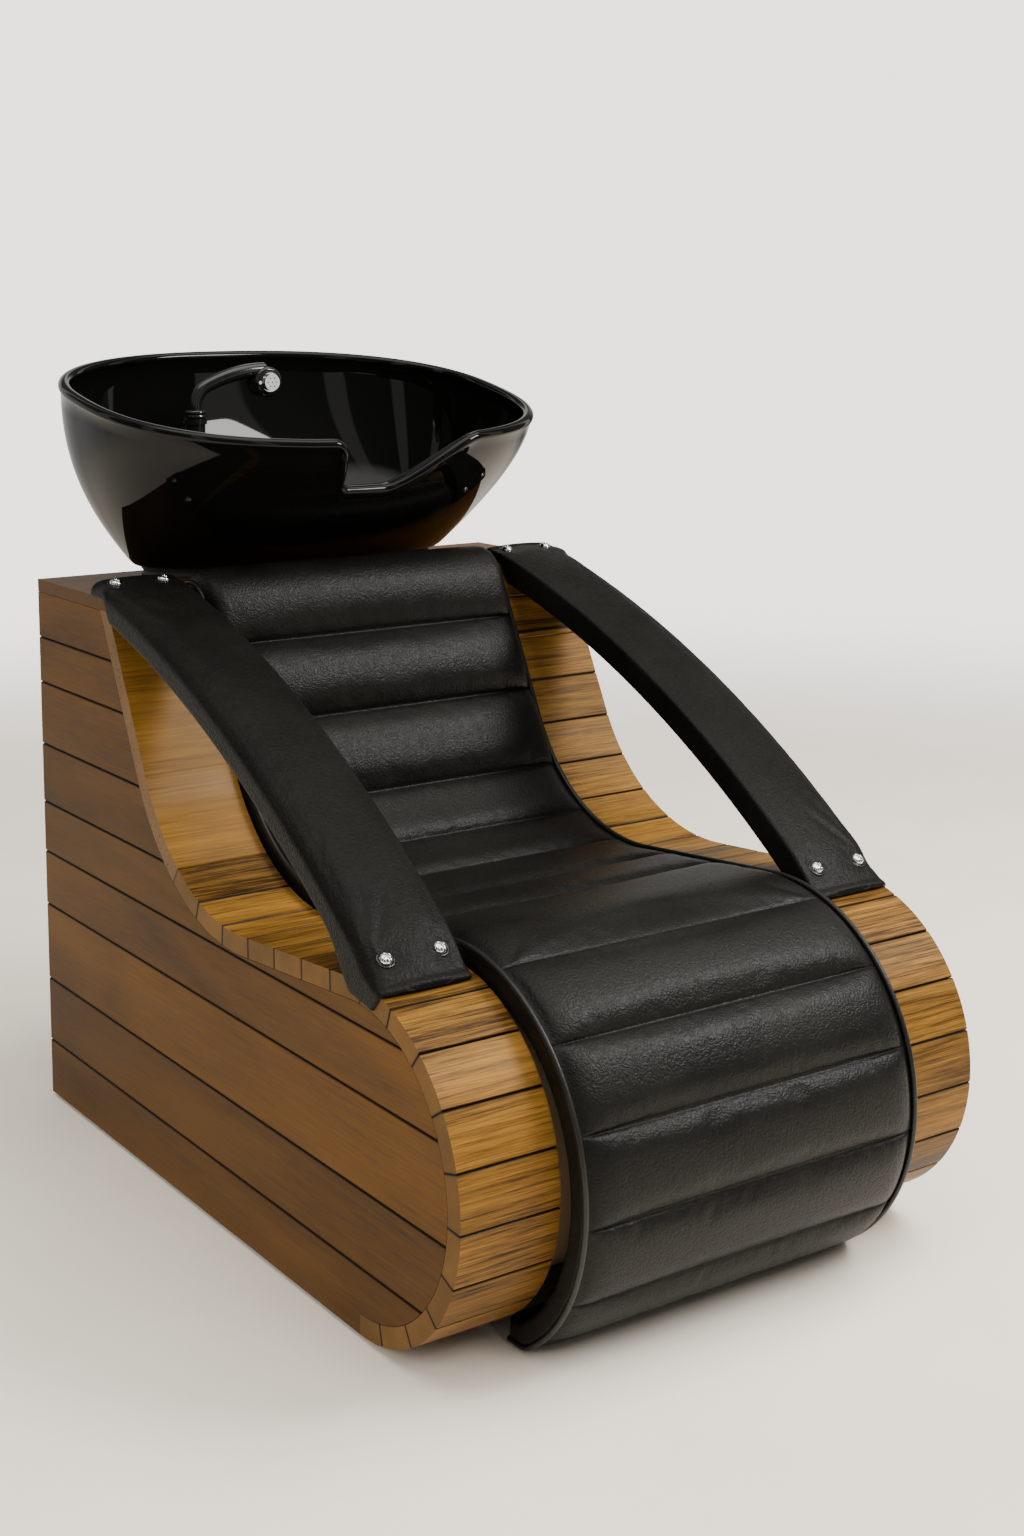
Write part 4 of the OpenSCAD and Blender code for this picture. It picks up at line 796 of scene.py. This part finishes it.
def puff(obj, pinned, pressure, slack, cap, frames=14):
    """Inflates a cover by cloth simulation: pinned points stay, and no point moves further than cap."""
    group = obj.vertex_groups.new(name="pinned")
    group.add([int(i) for i in pinned], 1.0, "REPLACE")
    cloth = obj.modifiers.new("cloth", "CLOTH")
    settings = cloth.settings
    settings.quality = 6
    settings.mass = 0.25
    settings.tension_stiffness = settings.compression_stiffness = 18
    settings.shear_stiffness = 9
    settings.bending_stiffness = 0.6
    settings.use_pressure = True
    settings.uniform_pressure_force = pressure
    settings.shrink_min = -slack
    settings.vertex_group_mass = "pinned"
    settings.effector_weights.gravity = 0
    cloth.collision_settings.use_collision = False
    before = coordinates(obj.data)
    for number in range(1, frames + 1):
        bpy.context.scene.frame_set(number)
    graph = bpy.context.evaluated_depsgraph_get()
    move = coordinates(obj.evaluated_get(graph).data) - before
    size = np.maximum(np.linalg.norm(move, axis=1), 1e-9)[:, None]
    after = before + move * (cap * np.tanh(size / cap) / size)
    obj.modifiers.remove(cloth)
    obj.vertex_groups.remove(group)
    obj.data.vertices.foreach_set("co", after.astype(np.float32).ravel())
    obj.data.update()
    bpy.context.scene.frame_set(1)


make_cushion()


# ---- Arms ----

arm_rear, arm_front_y = np.array([340 * MM, 762 * MM]), -385 * MM
arm_slopes = (math.radians(12.2), math.radians(40))
arm_r = (arm_rear[0] - arm_front_y) / (math.sin(arm_slopes[1]) - math.sin(arm_slopes[0]))
arm_c = arm_rear - arm_r * np.array([-math.sin(arm_slopes[0]), math.cos(arm_slopes[0])])
arm_w, arm_t = 116 * MM, 38 * MM
arm_mid = half_w + 2 * MM - arm_w / 2
arm_crown = 3.2 * MM
screw_out = 34 * MM  # screws from the arm's middle line
screw_y = (318 * MM, -352 * MM)
dome_r, dome_h, dome_rings, spokes = 8.2 * MM, 5.6 * MM, 15, 40
cross_r, cross_half, cross_depth = 4.6 * MM, 1.0 * MM, 2.4 * MM
# Section of a cup washer: radius and height in mm
CUP = ((8.3, -2.5), (8.6, -0.6), (9.6, 0.5), (10.8, 0.4), (11.4, -0.8), (11.4, -2.5))


def wood_outline():
    """The outline of the wooden body in the YZ plane."""
    points = [(back_y, 0), (back_y, deck_z), tuple(back_p)]
    upper = np.linspace(-back_lean, -math.pi / 2 - seat_rise, 60)
    nose = np.linspace(math.pi / 2 - seat_rise, 3.6, 90)
    points += [tuple(polar(curve_c, curve_r, a)) for a in upper]
    points += [tuple(polar(nose_c, nose_r, a)) for a in nose]
    return np.array(points + [(nose_c[0], 0)])


def inside(outline, points):
    """Which points lie inside a closed outline."""
    a, b = outline, np.roll(outline, -1, 0)
    y, z = points[:, 0, None], points[:, 1, None]
    crosses = (a[:, 1] > z) != (b[:, 1] > z)
    rise = np.where(b[:, 1] == a[:, 1], 1e-12, b[:, 1] - a[:, 1])
    return (crosses & (y < (b[:, 0] - a[:, 0]) * (z - a[:, 1]) / rise + a[:, 0])).sum(1) % 2 == 1


def on_arm(slope, depth=0.0):
    """A point of the arm's outer line, or so far below it."""
    return arm_c + (arm_r - depth) * np.array([-math.sin(slope), math.cos(slope)])


def screw_slope(y):
    return math.asin((arm_c[0] - y) / arm_r)


def to_screws(x, slope):
    """How far a point of the arm's face is from each of its screws, with the screw's y."""
    return [(math.hypot(x - sx, (slope - screw_slope(sy)) * arm_r), sy)
            for sy in screw_y for sx in (-screw_out, screw_out)]


def arm_dip(x, slope):
    """How far the face lies below the outer line: thinner ends with a hem, and screw dimples."""
    to_front = (arm_slopes[1] - slope) * arm_r
    to_rear = (slope - arm_slopes[0]) * arm_r
    lower = 7.5 * MM * (1 - smooth_step(to_front / (75 * MM)))
    lower += 4 * MM * (1 - smooth_step(to_rear / (45 * MM)))
    lower -= 3.4 * MM * math.exp(-((to_front - 6 * MM) / (3.6 * MM)) ** 2)
    lower -= 2.4 * MM * math.exp(-((to_rear - 6 * MM) / (3.6 * MM)) ** 2)
    for near, sy in to_screws(x, slope):
        lower += (3.0 * MM if sy < 0 else 1.5 * MM) * math.exp(-(near / (12 * MM)) ** 2)
    return lower


def arm_section(slope, thick, flap):
    """Section of an arm pad as (across, depth): the top, then outer roll, flap, underside, inner edge."""
    half = arm_w / 2
    r_out, r_in, r_low = min(17 * MM, thick * 0.6), min(4 * MM, thick * 0.3), min(7 * MM, thick * 0.3)
    outer = half + 1.5 * MM
    top = [(x, arm_dip(x, slope) - arm_crown * (1 - (2 * x / arm_w) ** 2))
           for x in np.linspace(-half + r_in, outer - r_out, 27)]
    edge = arm_dip(outer - r_out, slope)
    roll = [(outer - r_out + r_out * math.sin(a), edge + r_out * (1 - math.cos(a)))
            for a in np.linspace(0, math.pi / 2, 9)[1:]]
    roll = [(x, min(z, thick)) for x, z in roll]
    foot = thick + flap
    side = [(outer, roll[-1][1] + (foot - roll[-1][1]) * t) for t in (0.33, 0.66, 0.95)]
    side += [(outer - 0.9 * MM, foot), (outer - 1.8 * MM, foot - 0.2 * MM), (outer - 2.6 * MM, thick)]
    low = [(x, thick) for x in np.linspace(outer - 5 * MM, -half + r_low, 10)]
    inner = [(-half + r_low - r_low * math.sin(a), thick - r_low + r_low * math.cos(a))
             for a in np.linspace(0, math.pi / 2, 5)[1:]]
    high = arm_dip(-half, slope)
    inner += [(-half, (thick - r_low) * 0.5 + (high + r_in) * 0.5)]
    inner += [(-half + r_in - r_in * math.cos(a), high + r_in - r_in * math.sin(a))
              for a in np.linspace(0, math.pi / 2, 5)[:-1]]
    return top, roll + side + low + inner


def make_arm(side, name):
    """One padded arm band, thinned where it lies on the wood, with a flap over its front end."""
    outline = wood_outline()
    slopes = np.linspace(*arm_slopes, 190)
    depths = np.linspace(0, 60 * MM, 241)
    verts, pinned = [], []
    last = len(slopes) - 1
    for i, slope in enumerate(slopes):
        hits = inside(outline, np.array([on_arm(slope, d) for d in depths]))
        free = depths[np.argmax(hits)] if hits.any() else 1.0
        thick = min(arm_t, free - 0.4 * MM)
        to_front = (arm_slopes[1] - slope) * arm_r
        to_rear = (slope - arm_slopes[0]) * arm_r
        flap = 0.6 * MM + 23 * MM * (1 - smooth_step((to_front - 20 * MM) / (110 * MM)))
        flap = flap if on_arm(slope)[0] < 0 else 0.6 * MM
        top, rest = arm_section(slope, thick, flap)
        end = min(to_front, to_rear)
        shrink = 2.2 * MM * (1 - min(1, end / (2.5 * MM))) ** 2
        for j, (x, depth) in enumerate(top + rest):
            edge = j < 2 or j >= len(top) + 5 or end < 14 * MM or i in (0, last)
            if edge or any(near < 13 * MM for near, _ in to_screws(x, slope)):
                pinned.append(len(verts))
            depth = depth + shrink * (1 if depth < thick / 2 else -0.3)
            verts.append((side * (arm_mid + x), *on_arm(slope, depth)))
    sides = len(top) + len(rest)
    faces = ring_faces(len(slopes), sides)
    pinned += [fan(verts, faces, i, sides, corners=(0, 26, 45, 55)) for i in (0, last)]
    pad = mesh_object(name + "_arm_cover", verts, faces)
    puff(pad, pinned, pressure=2.0, slack=0.002, cap=2 * MM)
    pad = subdivide(pad)
    paint(pad, MATERIALS["arm_leather"])
    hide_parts(name + "_arm_pad")
    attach(pad, "body")


def screw_head():
    """Points and faces of a domed cross-head screw, square to the arm's face at (0, 0, 0)."""
    points = []
    for i in range(dome_rings + 1):
        r = dome_r * i / dome_rings
        dome = dome_h * math.sqrt(max(0, 1 - (r / dome_r) ** 2.2))
        for k in range(spokes):
            a = 2 * math.pi * k / spokes
            p, q = r * abs(math.cos(a)), r * abs(math.sin(a))
            cross = min(p, q) < cross_half and max(p, q) < cross_r
            points.append((r * math.cos(a + 0.5), r * math.sin(a + 0.5), dome - cross * cross_depth))
    points += [(u, v, -2 * MM) for u, v, _ in points[-spokes:]]
    faces = ring_faces(dome_rings + 2, spokes)
    return points, faces + [tuple(range(len(points) - spokes, len(points)))]


def screw_cup():
    """Points and faces of the cup washer round a screw."""
    angles = [2 * math.pi * k / spokes for k in range(spokes)]
    points = [(r * MM * math.cos(a), r * MM * math.sin(a), h * MM) for a in angles for r, h in CUP]
    return points, ring_faces(spokes, len(CUP), closed=True)


def at_screws(name, points, faces):
    """One object with a copy of a small solid at each of the eight arm screws."""
    verts, copies = [], []
    for side in (-1, 1):
        for y in screw_y:
            slope = screw_slope(y)
            along = np.array([math.cos(slope), math.sin(slope)])
            sunk = (2.5 if y < 0 else 1.0) * MM
            for out in (-screw_out, screw_out):
                x = side * (arm_mid + out)
                copies += [tuple(len(verts) + n for n in face) for face in faces]
                verts += [(x + u, *(on_arm(slope, sunk - w) + v * along)) for u, v, w in points]
    return mesh_object(name, verts, copies)


def make_screws():
    """Domed cross-head screws, each in a black cup washer."""
    heads = at_screws("arm_screw_heads", *screw_head())
    mend(heads.data, merge=True)
    paint(heads, MATERIALS["chrome"])
    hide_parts("arm_screws")
    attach(heads, "body")
    washers = at_screws("arm_screw_cups", *screw_cup())
    paint(washers, MATERIALS["gloss_black"])
    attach(washers, "body")


make_arm(-1, "left")
make_arm(1, "right")
make_screws()


# ---- Hand shower and hoses ----

dock_lo, dock_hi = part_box("shower_dock")
dock_x, dock_y = (dock_lo.x + dock_hi.x) / 2, (dock_lo.y + dock_hi.y) / 2
dock_top = dock_hi.z
nozzle_lo, nozzle_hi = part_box("spray_nozzle")
head = Vector(((nozzle_lo.x + nozzle_hi.x) / 2, dock_y, (nozzle_lo.z + nozzle_hi.z) / 2))
head_r, head_t, head_edge = 22 * MM, 34 * MM, 5 * MM
handle_r = 9.6 * MM
stem_r, stem_turn = 34 * MM, math.radians(65)
# Section of the handle's foot and collar: radius and height over the dock, in mm
COLLAR = ((0, -40), (8, -40), (9.9, -38), (9.9, 0.4), (14.6, 0.4), (16, 1.6), (16, 4), (14.9, 5.2),
          (14.9, 6.4), (15.8, 7.4), (15.8, 9.8), (14.4, 11.6), (10, 12.4), (0, 12.4))


def handle_path():
    """The handle's middle line: up from the dock, round a bend, then a flat arch to the head."""
    bend = np.array([dock_x + stem_r, dock_top + 16 * MM])
    joint = polar(bend, stem_r, math.pi - stem_turn)
    arch_r = (head.x - joint[0]) / math.cos(stem_turn)
    arch = np.array([head.x, joint[1] - arch_r * math.sin(stem_turn)])
    line = [(dock_x, dock_top + z * MM) for z in (4, 8, 12)]
    line += [polar(bend, stem_r, math.pi - a) for a in np.linspace(0, stem_turn, 16)]
    line += [polar(arch, arch_r, math.pi - a) for a in np.linspace(stem_turn, math.pi / 2, 20)[1:]]
    return [(x, dock_y, z) for x, z in line]


def make_shower():
    """The hand shower's black parts: handle, round head and collar."""
    path = handle_path()
    radii = [0.98 + 0.16 * smooth_step((i - 8) / (len(path) - 12)) for i in range(len(path))]
    handle = sweep("shower_handle", path, handle_r, 24, radii)
    r, t, edge = head_r, head_t / 2, head_edge
    profile = [(0, -t), (r - edge, -t)]
    profile += [polar((r - edge, edge - t), edge, a) for a in np.linspace(0.3 - math.pi / 2, 0, 6)]
    profile += [polar((r - edge, t - edge), edge, a) for a in np.linspace(0, math.pi / 2 - 0.3, 6)]
    profile += [(r - edge, t), (0, t)]
    shell = lathe("shower_head", profile, head, axis="Y", count=48)
    collar = [(r * MM, dock_top + h * MM) for r, h in COLLAR]
    socket = lathe("shower_collar", collar, (dock_x, dock_y, 0), count=48)
    for piece in (handle, shell, socket):
        paint(piece, MATERIALS["gloss_black"])
        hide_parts("hand_shower")
        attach(piece, "hand_shower")


def make_hoses():
    """The two hoses that flex when the bowl tilts: the shower hose and the waste hose."""
    lo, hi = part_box("shower_hose")
    x, y = (lo.x + hi.x) / 2, (lo.y + hi.y) / 2
    r, ferrule = 7 * MM, 9 * MM
    end = [(0, 0), (ferrule, 0), (ferrule, 12 * MM), (ferrule - 1 * MM, 14 * MM)]
    profile = [(radius, lo.z + z) for radius, z in end]
    profile += [(r, z) for z in np.linspace(lo.z + 14.5 * MM, hi.z - 14.5 * MM, 12)]
    profile += [(radius, hi.z - z) for radius, z in reversed(end)]
    hose = lathe("shower_hose_flexed", profile, (x, y, 0), count=32)
    paint(hose, MATERIALS["braid"])
    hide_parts("shower_hose")
    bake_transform(hose)
    lo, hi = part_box("waste_hose")
    pitch, deep = 12 * MM, 2.6 * MM
    outer = (hi.x - lo.x) / 2
    profile = [(drain_r, lo.z)]
    for z in np.arange(lo.z, hi.z, 1.5 * MM):
        profile.append((outer - deep * (1 + math.cos((z - lo.z) / pitch * 2 * math.pi)) / 2, z))
    profile += [(outer - deep, hi.z), (drain_r, hi.z)]
    hose = lathe("waste_hose_ribbed", profile, (0, drain_y, 0), count=40, closed=True)
    paint(hose, MATERIALS["rubber"])
    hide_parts("waste_hose")
    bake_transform(hose)


make_shower()
make_hoses()


# ---- Stage, light and camera ----

FLOOR_HALF = 9
FLOOR_DARK, FLOOR_LIGHT = (0.84, 0.765, 0.67), (0.9, 0.825, 0.73)
LIGHT_COLOUR = (1, 0.98, 0.95)
# Place, aim, size, power in watts, and whether the light shows in reflections
LIGHTS = {
    "key": ((2.1, -0.5, 3.0), (0, -0.1, 0.4), (1.4, 1.4), 105, False),
    "sheen": ((1.9, -1.8, 2.8), (0, -0.1, 0.5), (1.1, 0.9), 100, True),
    "front": ((0.2, -3.4, 3.2), (0, -0.3, 0.4), (1.2, 1.2), 56, False),
    "left": ((-3.4, -0.9, 1.7), (0, 0, 0.4), (1.6, 2.2), 74, False),
}
camera_place = (-1.467, -2.206, 1.143)
camera_yaw, camera_pitch = math.radians(34.745), math.radians(7.49)
camera_lens, camera_sensor, camera_shift = 49.46, 36, -0.135


def make_stage():
    """A plain pale floor that fades into a plain pale backdrop."""
    corners = [(x * FLOOR_HALF, y * FLOOR_HALF, 0) for x, y in ((-1, -1), (1, -1), (1, 1), (-1, 1))]
    floor = mesh_object("floor", corners, [(0, 1, 2, 3)], smooth=False)
    m = Maker("pale_floor", FLOOR_DARK, 0.6, specular=0.2)
    cloud = m.noise(m.place, 3.0, 5.0, 0.6)
    m.set("Base Color", m.ramp(cloud, (0.3, FLOOR_DARK), (0.75, FLOOR_LIGHT)))
    reach = m.node("VectorMath", operation="LENGTH", i0=m.place).outputs["Value"]
    fade = m.ramp(m.mul(reach, 0.125), (0.27, 0.0), (0.62, 1.0), interpolation="EASE")
    m.blend(fade, m.shader, m.node("BsdfTransparent"), "Material Output")
    paint(floor, m.material)


def make_world():
    """Soft studio surroundings: pale to the camera, with dark and pale panels for the reflections."""
    world = bpy.data.worlds.new("studio")
    world.use_nodes = True
    room = Maker.for_tree(world.node_tree)
    way = room.parts(room.node("TexCoord").outputs["Generated"])
    turn = room.math("ARCTAN2", way[1], way[0])
    posts = room.math("ABSOLUTE", room.math("SINE", room.mul(turn, 4.5)))
    wall = room.mix(room.ramp(posts, (0.9, 0.0), (0.94, 1.0)), (0.13, 0.13, 0.12), (0.95, 0.94, 0.85))
    above = room.ramp(way[2], (0.78, 0.0), (0.86, 1.0))
    ahead = room.ramp(way[1], (0.12, 1.0), (0.3, 0.1))
    above = room.mix(1.0, above, ahead, "MULTIPLY")
    low = room.ramp(way[2], (0.28, 1.0), (0.4, 0.0))
    behind = room.mul(room.ramp(way[1], (0.55, 0.0), (0.75, 1.0)), low)
    wall = room.mix(behind, wall, (0.8, 0.79, 0.75))
    scene_light = room.mix(above, wall, (3.2, 3.15, 2.95))
    lit = room.tree.nodes["Background"]
    room.feed(lit.inputs["Color"], scene_light)
    room.feed(lit.inputs["Strength"], 1.0)
    seen = room.node("Background", Color=(1.0, 0.97, 0.91, 1), Strength=2.7)
    room.blend(room.node("LightPath").outputs["Is Camera Ray"], lit, seen, "World Output")
    bpy.context.scene.world = world


def area_light(name, place, aim, size, power, glossy):
    data = bpy.data.lights.new(name, "AREA")
    data.shape = "RECTANGLE"
    data.size, data.size_y = size
    data.energy = power
    data.color = LIGHT_COLOUR
    lamp = add_object(name, data)
    lamp.location = place
    lamp.rotation_euler = (Vector(aim) - Vector(place)).to_track_quat("-Z", "Y").to_euler()
    lamp.visible_glossy = glossy


def make_camera():
    data = bpy.data.cameras.new("camera")
    data.lens = camera_lens
    data.sensor_width = camera_sensor
    data.shift_y = camera_shift
    cam = add_object("camera", data)
    cam.location = camera_place
    cam.rotation_euler = (math.pi / 2 - camera_pitch, 0, -camera_yaw)
    bpy.context.scene.camera = cam


make_stage()
make_world()
for light_name, values in LIGHTS.items():
    area_light(light_name, *values)
make_camera()
